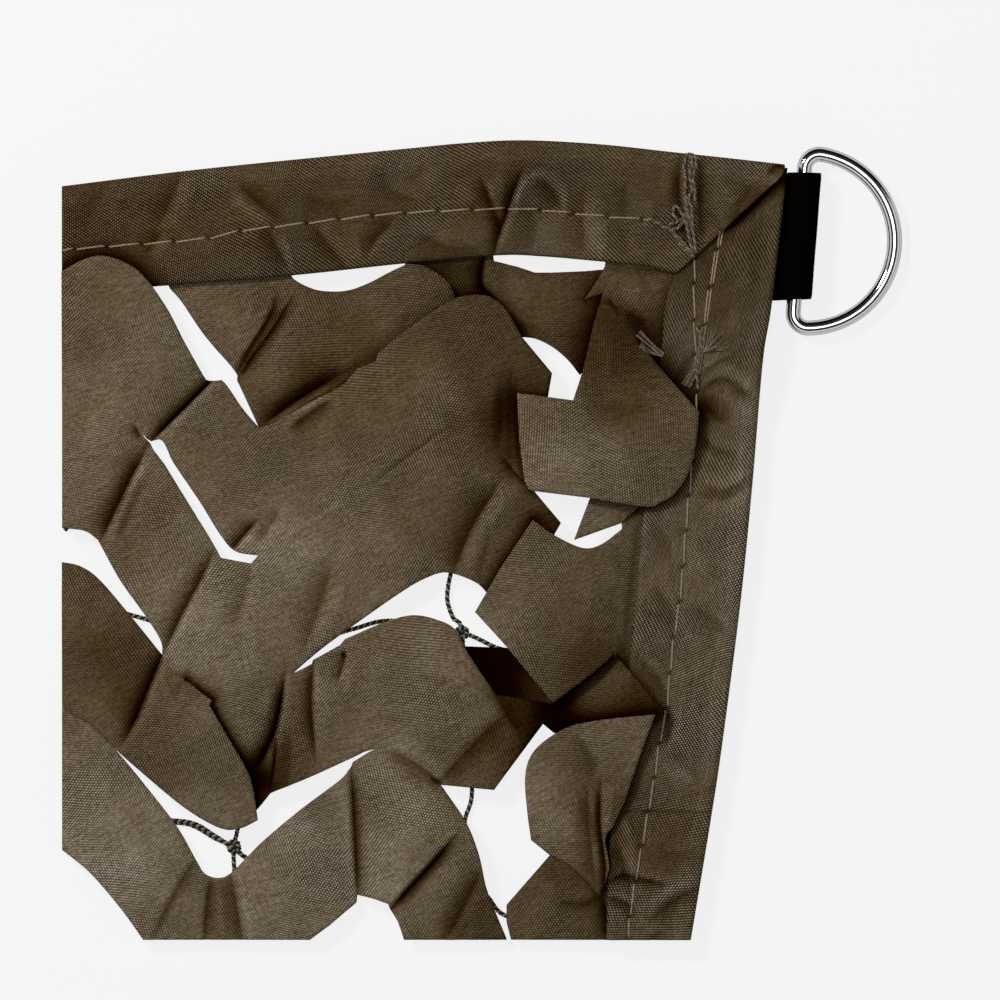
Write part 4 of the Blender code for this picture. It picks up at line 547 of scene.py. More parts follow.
leafCreases = {
    "centre": [
        ([(78.6, 103.4), (72, 98.8), (61, 90.4)], -0.2, 0.35, 0.24), ([(58, 88.6), (51.6, 84.7), (42.6, 79.2)], 0.15, 0.3, -0.1),
        ([(33, 115), (24.4, 106.4), (16, 98)], -1.0, 0.75, 0.98), ([(14.2, 103.4), (16, 100)], -0.4, 0.7, 0.5),
        ([(17.8, 100), (14, 93), (10.6, 86), (6.8, 78)], -0.8, 1.4, 0.72), ([(17, 96), (13, 88), (9.4, 79)], 0.4, 1.0, -0.14),
        ([(18, 94), (14, 86.6), (11, 78.6)], -0.3, 1.0, 0.25), ([(39.4, 84.4), (36, 80.6), (33, 77)], -0.7, 0.9, 0.68),
        ([(44, 86.6), (41, 82), (38.6, 79)], -0.3, 1.2, 0.22), ([(31, 79), (27, 71), (23.6, 64.6), (19.6, 56)], -0.7, 1.1, 0.62),
        ([(38, 76), (36.4, 69), (34, 61)], -0.4, 1.6, 0.18), ([(54.6, 77), (52, 68.6), (47.6, 56)], -0.5, 1.8, 0.25),
        ([(57, 72), (55, 66), (52, 60)], 0.4, 1.4, -0.08), ([(33, 70), (29.4, 63), (26, 58)], 0.4, 2.4, -0.05),
        ([(44.8, 101.8), (50, 105.6), (54.6, 108.6)], -0.6, 1.0, 0.5), ([(45, 104.6), (49, 107.2), (54.6, 110)], 0.4, 0.8, -0.12),
        ([(88.4, 93), (85.6, 88.6), (81.6, 82), (77.4, 71.6)], -0.9, 1.8, 0.5), ([(89, 88.6), (84.6, 80), (81.6, 72)], 0.5, 1.5, -0.12),
        ([(86, 84), (84.6, 78), (83.6, 72)], -0.3, 1.2, 0.12), ([(87.8, 97), (90.4, 93.8), (92.6, 91)], -0.5, 0.6, 0.45),
        ([(89.8, 115), (89.4, 104), (90, 91)], -0.6, 2.0, 0.34), ([(88.2, 111), (87.8, 104), (87.2, 97)], -0.3, 0.8, 0.25), ([(90.8, 113), (90.8, 104), (91.8, 92)], -0.5, 0.7, 0.5),
        ([(86.4, 112), (86, 104)], 0.3, 1.2, -0.08), ([(56.8, 58.8), (56.2, 55), (54.8, 51)], -0.4, 0.7, 0.45),
        ([(55.6, 57.6), (57.4, 56.8)], -0.5, 0.5, 0.7), ([(50.4, 57.4), (49.8, 47), (50.8, 35.4)], -0.8, 0.9, 0.6),
        ([(52.6, 52), (53, 42)], 0.4, 1.6, -0.08), ([(58, 56), (57, 48)], 0.3, 2.0, -0.06),
        ([(44.8, 54.6), (43.3, 45), (41.4, 39), (36.6, 30.4)], -1.0, 0.95, 0.97), ([(41.4, 50), (40.6, 44)], 0.3, 0.8, -0.1),
        ([(43.0, 42), (42.6, 36), (41.6, 29)], -0.4, 0.45, 0.6), ([(42.2, 41), (41.8, 36), (41.0, 30)], 0.3, 0.45, -0.26),
        ([(45.6, 42), (45.4, 36), (45, 30)], -0.2, 1.0, 0.2),
        ([(64, 38.4), (70, 35.6), (76.6, 31)], -0.6, 1.5, 0.35),
        ([(73.4, 32.8), (76.2, 31.2)], -0.3, 0.6, 0.6), ([(62, 40), (68, 40.4), (74, 37)], 0.3, 1.6, -0.05),
        ([(74, 30.4), (80, 36.6), (84, 41), (89.6, 46)], -0.5, 1.9, 0.42), ([(92, 40.4), (89.1, 44.9), (86.6, 49.2), (84.8, 52)], -0.3, 1.9, 0.42),
        ([(59.2, 6), (58.8, 14), (58.3, 24), (57.6, 37)], -0.9, 0.9, 0.7), ([(56.2, 32), (56.8, 22), (57.4, 12)], 0.3, 1.0, -0.06),
        ([(64, 4.2), (69, 10), (73, 14.4), (79.6, 22)], -1.0, 1.0, 0.94), ([(67, 4), (73, 10.6), (79, 17)], 0.3, 1.4, -0.06),
        ([(84.4, 15), (80, 6), (75.6, -2)], -0.6, 1.3, 0.38), ([(81.6, 4), (79, -1)], -0.3, 1.2, 0.2),
        ([(17, -2), (22, 8.6), (27.8, 18)], -0.5, 1.1, 0.36), ([(28.2, -2), (28.8, 6), (29.8, 14)], -0.5, 0.9, 0.42),
        ([(33.4, 15), (34.6, 8), (36.4, -2)], -0.4, 1.6, 0.4), ([(31.4, 12), (31.6, 6), (32.6, -1)], 0.3, 0.9, -0.12),
        ([(24, 9), (22, 4), (19.6, -1)], 0.3, 1.0, -0.08),
        ([(9.4, 37), (5.4, 42), (0, 45.4)], 0.3, 2.2, -0.04),
        ([(46, 86), (58, 93), (68, 101)], 0.4, 3.0, -0.04),
        ([(6, 110), (3, 96)], -0.5, 3.0, 0.05), ([(24, 100), (30, 92), (34, 86)], 0.3, 2.6, -0.04), ([(50, 82), (54, 76)], 0.3, 2.0, -0.04),
        ([(76, 116), (82, 108), (84, 98)], 0.4, 3.0, -0.04), ([(78, 100), (76, 106)], -0.3, 1.4, 0.12)],
    "margin": [
        ([(33.6, 111), (37.2, 118), (41.8, 125.6), (43, 130.6)], -0.7, 1.0, 0.7), ([(34.2, 110.4), (38, 116.6), (42, 122), (47, 130.4)], -0.7, 0.6, 0.7),
        ([(36.6, 117.6), (40.4, 123.6)], 0.4, 0.5, -0.2), ([(41.6, 117), (46, 124), (50, 129)], 0.4, 1.4, -0.08),
        ([(33, 116.6), (36.6, 122.6), (38, 128)], 0.3, 1.0, -0.08),
        ([(57.6, 114.2), (50, 110), (44, 106), (38.6, 102)], -0.9, 1.25, 0.8), ([(52, 113.6), (46, 110), (40.6, 107)], 0.4, 1.8, -0.05),
        ([(48, 116), (58, 121), (70, 127)], 0.5, 3.0, -0.03), ([(104.6, 96), (110, 90)], -0.3, 1.5, 0.1),
        ([(98.6, 8.2), (103, 7.2), (107.6, 8.4)], -0.5, 1.0, 0.3), ([(108.2, 9), (109.0, 4), (109.4, -1)], -0.5, 0.9, 0.7), ([(112.4, 58), (113.6, 70), (115.6, 86)], -0.3, 1.0, 0.14),
        ([(111.4, 83), (114, 85.2), (117.4, 88)], -0.4, 0.45, 0.6), ([(96, 74), (100, 66)], 0.4, 3.0, -0.03),
        ([(106, 73), (105.6, 64)], 0.3, 1.4, -0.06),
        ([(107.4, 134.6), (114, 134.2), (123, 133.4)], -0.3, 0.8, 0.25), ([(98.6, 133), (97.6, 128)], -0.3, 1.4, 0.1),
        ([(121.6, 134), (120.8, 126), (120.2, 117)], -0.2, 0.8, 0.3), ([(112, 131), (117, 129.6)], 0.4, 1.8, -0.08),
        ([(111.4, 124.4), (114.6, 125), (117, 122)], -0.2, 1.6, 0.3)],
    "hood": [([(85, 139), (83.8, 133), (84.2, 130.5), (86, 128.6), (90.6, 124)], -0.7, 0.9, 0.92),
             ([(88, 136), (86.4, 132), (88, 129)], 0.4, 1.0, -0.1), ([(104.6, 131), (100, 128)], 0.2, 2.0, -0.04),
             ([(90, 134.6), (99, 133.4)], -0.2, 1.5, 0.1), ([(88, 123.4), (94, 122.6), (99, 119.8)], -0.2, 1.4, 0.15)],
    "flap": [([(106.6, 124), (109.4, 118), (108.6, 110)], 0.3, 1.8, -0.06), ([(92, 101), (104, 102), (116, 101)], 0.4, 4.0, -0.03),
             ([(104, 108), (112, 106.4), (121, 108)], -0.3, 2.4, 0.12), ([(111.6, 124.6), (108.6, 128.6)], -0.2, 0.9, 0.3)],
    "left": [([(21.6, 61), (17.2, 50.4), (14.6, 44), (11.4, 38)], -1.1, 1.1, 0.86), ([(24.6, 52), (22.4, 44)], 0.5, 2.0, -0.08),
             ([(24, 52), (22.6, 47)], -0.2, 1.0, 0.16), ([(4, 72), (2, 58)], 0.5, 4.0, -0.04), ([(22, 42), (28, 32)], 0.4, 3.0, -0.04)],
    "dark": [],
    "curl": [([(107.8, 33), (107.5, 24), (108.2, 18), (108.6, 13), (107.2, 5)], -0.9, 0.8, 0.75), ([(110.4, 31.6), (109.8, 27), (109.4, 22)], 0.6, 0.8, -0.14),
             ([(105.2, 32), (105.2, 24), (106, 16), (107, 8)], -0.5, 1.2, 0.35), ([(106.6, 30), (106.6, 23)], 0.5, 0.6, -0.14),
             ([(107.0, 20), (107.2, 13)], 0.4, 0.7, -0.16), ([(97, 17.6), (102, 14.4), (108, 9)], -0.3, 1.6, 0.16), ([(103, 41.6), (106, 36), (106.6, 32)], -0.3, 1.7, 0.25),
             ([(98, 38), (104, 40), (112, 41)], 0.3, 2.0, -0.02), ([(103.4, 30), (102.4, 22)], 0.3, 1.6, -0.06)],
}
# shade that an edge lying higher throws on a leaf, as the edge, its reach and how dark
leafShades = {
    "centre": [("teeLeft", 1.3, 0.65), ("teeTop", 1.0, 0.4), ("teeLowRight", 1.3, 0.8), ("curlTop", 1.9, 0.85), ("leftRight", 1.1, 0.92),
               ("flapLow", 0.9, 0.5)],
    "margin": [("lobeFoot", 1.4, 0.3), ("lobe", 2.0, 0.18), ("flapRight", 3.0, 0.82), ("flapRound", 1.0, 0.3), ("curlRight", 1.6, 0.5),
               ("bracketRight", 1.2, 0.6)],
    "hood": [("lobe", 1.5, 0.65), ("fanCorner", 0.8, 0.25), ("flapLeft", 1.9, 0.62), ("cornerTip", 1.0, 0.45)],
    "flap": [], "left": [], "dark": [], "curl": [],
}
# direction of the yarns in each leaf, in degrees
leafWeave = {"centre": 21, "margin": 25, "hood": 33, "flap": 4, "left": 23, "dark": 48, "curl": 23}


def edgeRun(name, step):
    kind, points = leafEdges[name.lstrip("-")]
    path = spline(points, step) if kind == "curve" else straight(points, step)
    return path[::-1] if name.startswith("-") else path


def loopOf(names, step):
    loop = []
    for name in names:
        loop += edgeRun(name, step)[:-1]
    return loop


def insideLoops(loops, places):
    odd = np.zeros(len(places), bool)
    for loop in loops:
        for a, b in zip(loop, loop[1:] + loop[:1]):
            if a.y != b.y:
                crosses = (a.y > places[:, 1]) != (b.y > places[:, 1])
                odd ^= crosses & (places[:, 0] < a.x + (places[:, 1] - a.y) * (b.x - a.x) / (b.y - a.y))
    return odd


# rows of places over a leaf, clear of those already taken
def fillPlaces(loops, taken, step):
    lows, highs = np.min([p.xy for p in loops[0]], 0), np.max([p.xy for p in loops[0]], 0)
    rows = []
    for row, y in enumerate(np.arange(lows[1], highs[1], step * 0.87)):
        x = np.arange(lows[0] + (row % 2) * step / 2, highs[0], step)
        rows.append(np.column_stack([x, np.full(len(x), y)]))
    grid = np.concatenate(rows)
    grid = grid[insideLoops(loops, grid)]
    near = kdtree.KDTree(len(taken))
    for k, p in enumerate(taken):
        near.insert((p[0], p[1], 0), k)
    near.balance()
    return [p for p in grid if near.find((p[0], p[1], 0))[2] > 0.6 * step]


def trianglesOf(loops, points, edges):
    found = delaunay_2d_cdt([Vector(p[:2]) for p in points], edges, [], 0, 1e-6)
    order = [ids[0] for ids in found[3]]
    triangles = np.array([[order[k] for k in face] for face in found[2]])
    flat = np.array([p[:2] for p in points])
    return triangles[insideLoops(loops, flat[triangles].mean(1))]


def easeHeights(heights, triangles, firstFree, rounds):
    pairs = np.concatenate([triangles[:, [k, k - 1]] for k in range(3)])
    pairs = np.concatenate([pairs, pairs[:, ::-1]])
    count = np.maximum(np.bincount(pairs[:, 0], minlength=len(heights)), 1)
    for _ in range(rounds):
        mean = np.bincount(pairs[:, 0], heights[pairs[:, 1]], len(heights)) / count
        heights[firstFree:] = mean[firstFree:]
    return heights


def loopEdges(loops):
    edges, first = [], 0
    for loop in loops:
        edges += [(first + k, first + (k + 1) % len(loop)) for k in range(len(loop))]
        first += len(loop)
    return edges


# the plain surface of the leaf that the solid has, as a tree to read heights from
def coarseLeaf(leaf):
    names, gap, folds = leafPanels[leaf]
    step = cloth["coarse"]
    loops = [loopOf(names, step)] + ([loopOf(gap, step)] if gap else [])
    points = [p for loop in loops for p in loop]
    rim = points[:]
    for fold in folds:
        points += [p for p in straight(fold, step) if min((p.xy - q.xy).length for q in rim) > 0.3 * step]
    fixed = len(points)
    points += [Vector((*p, 0)) for p in fillPlaces(loops, [p.xy for p in points], step)]
    triangles = trianglesOf(loops, points, loopEdges(loops))
    heights = np.array([p.z for p in points])
    heights[fixed:] = heights[:fixed].mean()
    easeHeights(heights, triangles, fixed, 600)
    return BVHTree.FromPolygons([(p.x, p.y, z) for p, z in zip(points, heights)], triangles.tolist())


def fineLeaf(leaf):
    names, gap, folds = leafPanels[leaf]
    step = cloth["step"]
    loops = [loopOf(names, step)] + ([loopOf(gap, step)] if gap else [])
    points = [tuple(p) for loop in loops for p in loop]
    rim = len(points)
    taken = [p[:2] for p in points]
    # closer points along each crease, in rows beside it
    for run, depth, width, dark in leafCreases[leaf]:
        rows = []
        middle = spline([(*p, 0) for p in run], 0.5)
        for a, b in zip(middle, middle[1:]):
            side = Vector((a.y - b.y, b.x - a.x)).normalized()
            rows += [tuple(a.xy + side * off) for off in (-1.6 * width, -0.8 * width, -0.3, 0.05, 0.4, width, 1.8 * width)]
        rows = np.array(rows)
        near = kdtree.KDTree(len(taken) + len(rows))
        for k, p in enumerate(taken):
            near.insert((p[0], p[1], 0), k)
        near.balance()
        kept = []
        for p in rows[insideLoops(loops, rows)]:
            if near.find((p[0], p[1], 0))[2] > 0.28 and all(abs(p[0] - q[0]) + abs(p[1] - q[1]) > 0.26 for q in kept[-24:]):
                kept.append(tuple(p))
        taken += kept
    places = taken + [tuple(p) for p in fillPlaces(loops, taken, step)]
    surface = coarseLeaf(leaf)
    heights = [p[2] for p in points]
    for x, y in places[rim:]:
        hit = surface.ray_cast((x, y, 50), (0, 0, -1))[0] or surface.find_nearest((x, y, 4))[0]
        heights.append(hit.z)
    triangles = trianglesOf(loops, places, loopEdges(loops))
    heights = easeHeights(np.array(heights), triangles, rim, cloth["rounding"])
    places = np.array(places)
    # the tones paint the leaf's light and shade together with its own changes of colour; each crease adds painted shade
    # with a painted highlight on its lip, and each higher edge adds its painted shadow
    tones = blendTones(places, leafTones[leaf])
    for run, depth, width, dark in leafCreases[leaf]:
        sunk, shade, lip = creaseShape(places, run, width)
        heights += depth * sunk
        tones *= (1 - dark * shade) * (1 + 0.2 * max(dark, 0) * lip)
    for edge, reach, dark in leafShades[leaf]:
        tones *= shadeBy(places, edge, reach, dark)
    return places, heights, tones, triangles


def shadeBy(places, edge, reach, dark):
    away = np.abs(beside(places, edgeRun(edge, 1.5))[0])
    return 1 - dark * np.exp(-(away / reach) ** 1.3)


def tapeLift(x, y):
    return cloth["riseUnderTape"] * smoothStep(116.0, 134.0, x) * smoothStep(100.0, 122.0, y)


def makeCloth():
    index, spots, tones, faces, turned = {}, [], [], [], []
    for leaf in leafPanels:
        places, heights, leafTone, triangles = fineLeaf(leaf)
        ids = []
        angle = math.radians(leafWeave[leaf])
        for (x, y), z, tone in zip(places, heights, leafTone):
            key = (round(x, 3), round(y, 3), round(z, 1)) if (round(x, 3), round(y, 3)) in sharedPlaces else (leaf, len(ids))
            if key not in index:
                index[key] = len(spots)
                rise = tapeLift(x, y) if z < 4.0 else 0.0
                spots.append(Vector((x, y, z + rise + ripple(x, y, *cloth["ripple"]))))
                tones.append(tone)
            ids.append(index[key])
        for face in triangles:
            faces.append([ids[k] for k in face])
            turned.append(angle)
        print("cloth:", leaf, len(triangles), "faces")
    bm = bmesh.new()
    verts = [bm.verts.new(p) for p in spots]
    uv = bm.loops.layers.uv.new("weave")
    for ids, angle in zip(faces, turned):
        a, b, c = (spots[k] for k in ids)
        order = ids if (b - a).cross(c - a).z > 0 else ids[::-1]
        try:
            face = bm.faces.new([verts[k] for k in order])
        except ValueError:
            continue
        for loop in face.loops:
            p = loop.vert.co
            x = p.x + 3.5 * noise.noise(Vector((p.x / 46, p.y / 46, 2.0))) + 0.7 * noise.noise(Vector((p.x / 14, p.y / 14, 5.0)))
            y = p.y + 3.5 * noise.noise(Vector((p.x / 46, p.y / 46, 9.0))) + 0.7 * noise.noise(Vector((p.x / 14, p.y / 14, 12.0)))
            loop[uv].uv = ((x * math.cos(angle) + y * math.sin(angle)) * mm, (y * math.cos(angle) - x * math.sin(angle)) * mm)
    toned(bm, tones)
    piece = addPiece("leaf_sheet", bm, clothFinish, ["leaf_cloth"])
    solid = piece.modifiers.new("Thickness", "SOLIDIFY")
    solid.thickness = cloth["thickness"] * mm
    solid.offset = 0
    return piece


# places where two leaves meet on a seam, which both share
seamNames = [name for name in leafEdges if sum(name in [n.lstrip("-") for n in panel[0]] for panel in leafPanels.values()) > 1]
sharedPlaces = {(round(p.x, 3), round(p.y, 3)) for name in seamNames for p in edgeRun(name, cloth["step"])}
clothFinish = wovenFinish("olive_weave", cloth["weavePitch"], 0.13, (0.85, 0.85, 1.3), 0.797, 0.03)
clothPiece = makeCloth()
print("cloth made")


# --- folded tape round the edges ---
tape = {
    "top": 5.1, "thickness": 0.4, "columns": 400, "rows": 74,
    "yarnRows": {"binding_top": (0.8, 1.2, 1.25), "binding_side": (1.5, 0.8, 0.85)},
    "foldShare": 0.10,        # part of the way across that goes round the fold
    "overlap": 1.3,           # how far the top tape's mitre laps over the side tape
    "ripple": (0.30, 13.0),
    # place, depth, width and how dark the painted shade is, below 0 a painted highlight
    "creases": [
        ([(92.8, 155.4), (90.2, 149.4), (88.8, 144.8), (87.2, 140.6), (86.0, 135)], -1.1, 0.9, 0.7),
        ([(83.4, 153), (85.6, 147.8), (88.2, 140.6)], -0.8, 0.9, 0.55), ([(87.8, 153.6), (88, 147.6)], 0.5, 1.1, -0.16),
        ([(90.6, 144.4), (91.6, 149.4), (94.4, 153.2), (99.6, 153.2)], 0.7, 0.8, -0.24), ([(94.6, 152.6), (98, 150), (100.4, 145.4)], -0.7, 1.3, 0.38),
        ([(93.4, 148.6), (94.4, 142), (93.6, 137)], -0.3, 1.6, 0.14), ([(80.6, 152), (82.6, 147)], 0.4, 1.4, -0.1),
        ([(24, 154), (21.6, 148), (19, 142)], -0.5, 1.7, 0.25), ([(27, 152), (25, 146)], 0.4, 1.6, -0.08),
        ([(45, 142.6), (39, 147.4), (34.6, 152)], -0.7, 1.5, 0.32), ([(33.6, 149.4), (38.4, 145.4), (43, 142.4)], 0.4, 0.9, -0.14),
        ([(40.6, 143.6), (42, 140), (45.6, 134)], -0.6, 1.6, 0.32), ([(44.4, 142), (46.4, 133)], 0.4, 0.7, -0.16),
        ([(47.6, 150), (53, 147.4), (60, 149)], -0.3, 1.6, 0.14), ([(20.4, 142), (16.6, 137)], -0.5, 1.5, 0.3),
        ([(28, 141.4), (31, 137.4)], 0.4, 1.4, -0.12), ([(49.8, 143.6), (57.4, 133.4)], -0.6, 1.5, 0.28), ([(58.6, 141.6), (60, 135)], 0.3, 1.1, -0.1),
        ([(67, 144.6), (63, 140.6), (60.6, 136.4)], -0.6, 1.4, 0.3), ([(71, 141.4), (78, 138.4), (85, 138.8)], -0.4, 2.0, 0.2),
        ([(68, 142.4), (74, 143.4), (80, 142)], 0.4, 1.4, -0.1), ([(63, 154), (66.4, 149.4), (72, 147.6)], -0.4, 1.6, 0.18),
        ([(74, 155), (77, 150)], 0.3, 2.0, -0.07), ([(10, 152), (6, 146), (4, 141)], -0.3, 1.8, 0.15), ([(10, 148), (13.6, 143)], 0.3, 1.6, -0.08),
        ([(104.6, 152), (104, 144), (104.8, 136)], -0.5, 1.9, 0.22), ([(100.8, 152), (100.6, 144)], 0.4, 1.2, -0.12),
        ([(108.6, 144), (108.4, 136)], 0.4, 1.5, -0.12), ([(117.8, 149), (117.2, 140)], 0.4, 1.8, -0.12), ([(112.6, 152), (112.4, 144)], -0.3, 1.8, 0.14),
        ([(112.6, 143), (112.6, 136)], -0.3, 1.3, 0.12), ([(121.4, 155), (121, 147)], 0.3, 1.2, -0.1),
        ([(124, 158), (123.4, 149), (125.6, 137)], -0.5, 0.9, 0.5), ([(127.6, 138), (127.4, 148), (127.8, 158)], -0.5, 0.9, 0.5),
        ([(131, 153), (134, 149), (139, 148)], 0.3, 2.0, -0.06), ([(129, 146), (132, 143)], -0.3, 1.2, 0.12),
        ([(140.6, 153), (143, 154.8), (145.4, 153.6)], -0.4, 0.7, 0.6), ([(141.4, 150.6), (144.4, 152.6)], 0.3, 0.7, -0.2),
        ([(141.6, 150.6), (137.4, 145.6), (133, 141.4)], -0.5, 1.8, 0.3), ([(138.4, 151), (134.6, 145.6)], -0.2, 0.8, 0.2),
        ([(144.6, 153), (143, 141), (141.4, 129)], 0.2, 0.7, -0.16), ([(133, 140.4), (136.6, 136), (138, 128)], 0.4, 2.0, -0.07),
        ([(128.4, 138), (130.4, 134)], -0.2, 1.2, 0.14), ([(133.6, 127), (131.4, 121)], -0.3, 1.8, 0.1),
        ([(127.4, 109.6), (132.6, 112.2), (139.4, 107.4)], -0.9, 0.9, 0.36), ([(129.6, 115.4), (134, 114.4), (139.4, 109.8)], 0.5, 0.9, -0.14),
        ([(127.4, 112.6), (131.4, 115.6), (135, 117)], -0.4, 0.9, 0.24), ([(134, 102.4), (131, 104.4), (127.2, 108.6)], -0.7, 1.2, 0.28),
        ([(130.6, 109.4), (134.6, 108.2), (138.6, 104.6)], 0.4, 0.9, -0.12), ([(127, 102.4), (130.4, 98.4), (136, 97)], -0.6, 1.1, 0.28),
        ([(137.4, 93.6), (132.6, 90.6), (127.6, 92.4)], 0.6, 1.0, -0.2), ([(138, 91.4), (133, 88.4), (126.6, 89)], -0.5, 1.4, 0.2),
        ([(127.4, 95.6), (132, 94.6)], -0.3, 0.9, 0.14), ([(121.4, 108.6), (123.6, 113.6), (126.6, 118)], -0.4, 1.1, 0.2),
        ([(117.8, 84), (121, 79.6), (122.6, 74)], -0.3, 1.4, 0.14), ([(118, 71), (121.4, 66.4), (122.8, 61)], -0.3, 1.4, 0.18),
        ([(125.6, 81), (129.6, 73)], 0.4, 1.6, -0.1), ([(124.6, 66.6), (130.4, 64.4), (134, 60)], -0.4, 1.0, 0.16), ([(124.4, 62), (129, 59)], 0.3, 1.1, -0.1),
        ([(115.8, 66), (121, 64.8)], -0.3, 0.7, 0.2), ([(114.6, 57), (119, 52.6), (121.2, 48)], -0.4, 1.1, 0.25),
        ([(119.4, 47), (122, 44), (120.6, 38)], -0.5, 1.3, 0.42), ([(122, 56), (126.4, 52)], 0.3, 1.6, -0.08),
        ([(120.6, 33), (124, 34), (127, 31)], 0.6, 1.5, -0.18), ([(121.6, 37.4), (126, 36.4)], -0.3, 1.0, 0.12),
        ([(111, 25.8), (118, 26), (130, 25.6)], -0.3, 0.4, 0.22), ([(113.4, 27), (119, 27.4)], 0.2, 0.6, -0.08),
        ([(112, 26), (114, 20.4), (115, 13)], 0.6, 0.9, -0.2), ([(110.4, 21), (112.4, 15), (114, 9)], -0.6, 1.1, 0.32),
        ([(108.4, 10.8), (112, 13), (116, 12.2), (122, 10.8)], -0.9, 0.8, 0.5), ([(110, 15), (114, 15.4), (118, 14)], 0.4, 0.9, -0.1),
        ([(108.6, 8.6), (112, 7.8), (115.4, 5.2)], -0.7, 0.9, 0.42), ([(110, 5.6), (113.4, 4.6)], 0.3, 0.9, -0.1),
        ([(117, 3.4), (121.6, 7.4), (128, 11.4)], -0.9, 1.5, 0.36), ([(116.4, 6.8), (121, 10), (126, 13.4)], 0.4, 1.2, -0.12),
        ([(116, -1), (120.4, 2.4)], -0.3, 1.2, 0.22), ([(118.6, 18.4), (124, 17), (128, 20)], -0.3, 1.4, 0.14), ([(116, 22), (121, 20)], 0.3, 1.2, -0.08)],
    # shade on the tape under the edges that lie over it
    "shades": [("arch", 2.2, 0.75), ("archSide", 0.6, 0.3), ("flapRight", 3.4, 0.8), ("flapRound", 1.1, 0.55), ("curlRight", 1.1, 0.55), ("bracketRight", 1.2, 0.55),
               ("curlTop", 1.2, 0.4)],
    # tone of each tape at named places, its own changes of colour together with painted light and shade
    "tones": {"binding_top": [(10, 146, 58), (10, 134, 69), (30, 148, 64), (50, 150, 63), (70, 152, 68), (85, 156, 62), (92, 150, 60),
                              (84, 140, 68), (100, 140, 80), (115, 150, 66), (130, 152, 69), (60, 138, 66)],
              "binding_side": [(140, 140, 61), (132, 136, 63), (138, 120, 72), (130, 110, 88), (136, 92, 86), (122, 90, 80),
                               (128, 70, 84), (132, 50, 82), (118, 60, 77), (126, 40, 80), (114, 20, 64), (120, 8, 76)]},
}
seams = {
    # length of the first stitch and of the rest in each line
    "steps": {"top": (2.4, 6.5), "side": (4.9, 6.85), "second": (3.5, 7.5)},
    "gap": 0.35, "radius": 0.2, "proud": 0.1, "slant": 0.17,
    "top": [(0, 138), (8.6, 138.7), (21.6, 139.6), (30.6, 140.5), (35.6, 141.8), (47.6, 143.2), (57.6, 144.4), (67.6, 145.4), (83.6, 146.1),
            (90, 146.3), (95.6, 146), (107.6, 144.8), (118.2, 144.0)],
    "side": [(126.6, 136.3), (126.4, 131.4), (126.4, 124.6), (126.7, 117.4), (127, 108), (126, 95), (125.2, 87), (124.6, 80), (123.6, 68),
             (122, 58), (121.2, 48), (119.6, 40), (118.6, 33), (116.6, 22), (114, 8), (113.2, 0.3)],
    "second": [(131.7, 141.8), (130.9, 138.2), (129.4, 130.4), (128.2, 122.6), (127.8, 119)],
    # colour of the stitches, of the loose thread, and a darker copy of the loose thread that paints shade on some of
    # its strands
    "colour": (0.155, 0.122, 0.085), "loose": (0.118, 0.092, 0.063), "shaded": (0.055, 0.042, 0.028),
}


def stitchPlaces(name):
    run = even(spline([(*p, 0) for p in seams[name]], 0.5), 0.1)
    first, rest = seams["steps"][name]
    steps, k = [], 0
    while k < len(run) - 12:
        reach = round(((rest if steps else first) + dice.uniform(-0.3, 0.3)) / 0.1)
        last = min(k + reach, len(run) - 1)
        side = (run[last] - run[k]).normalized().cross(Vector((0, 0, -1))) * seams["slant"]
        steps.append((run[k] - side, run[last] + side))
        k = last + round(seams["gap"] / 0.1)
    return steps


stitches = {name: stitchPlaces(name) for name in ("top", "side", "second")}
dimples = np.array([p[:2] for name in stitches for pair in stitches[name] for p in pair])


# height of the face of the tape over its flat top, and how its tone changes with painted shade in creases, under edges
# and in stitch holes, and a painted highlight on crease lips
def tapeRelief(places):
    relief = np.zeros(len(places))
    tone = np.ones(len(places))
    for x, y, reach, height in tapePuffs:
        relief += height * np.exp(-((places[:, 0] - x) ** 2 + (places[:, 1] - y) ** 2) / reach ** 2)
    for run, depth, width, dark in tape["creases"]:
        sunk, shade, lip = creaseShape(places, run, width)
        relief += depth * sunk
        tone *= (1 - dark * shade) * (1 + 0.25 * max(dark, 0) * lip)
    for edge, reach, dark in tape["shades"]:
        tone *= shadeBy(places, edge, reach, dark)
    for line in ("top", "side"):
        relief -= 0.25 * np.exp(-(beside(places, spline([(*p, 0) for p in seams[line]], 3.0))[0] / 1.3) ** 2)
    away = ((places[:, None, :] - dimples[None]) ** 2).sum(2).min(1)
    relief -= 0.30 * np.exp(-away / 0.35)
    # painted shade in the stitch holes
    tone *= 1 - 0.40 * np.exp(-away / 0.16)
    relief += [ripple(x, y, *tape["ripple"]) for x, y in places]
    return relief + tapeLift(places[:, 0], places[:, 1]), tone


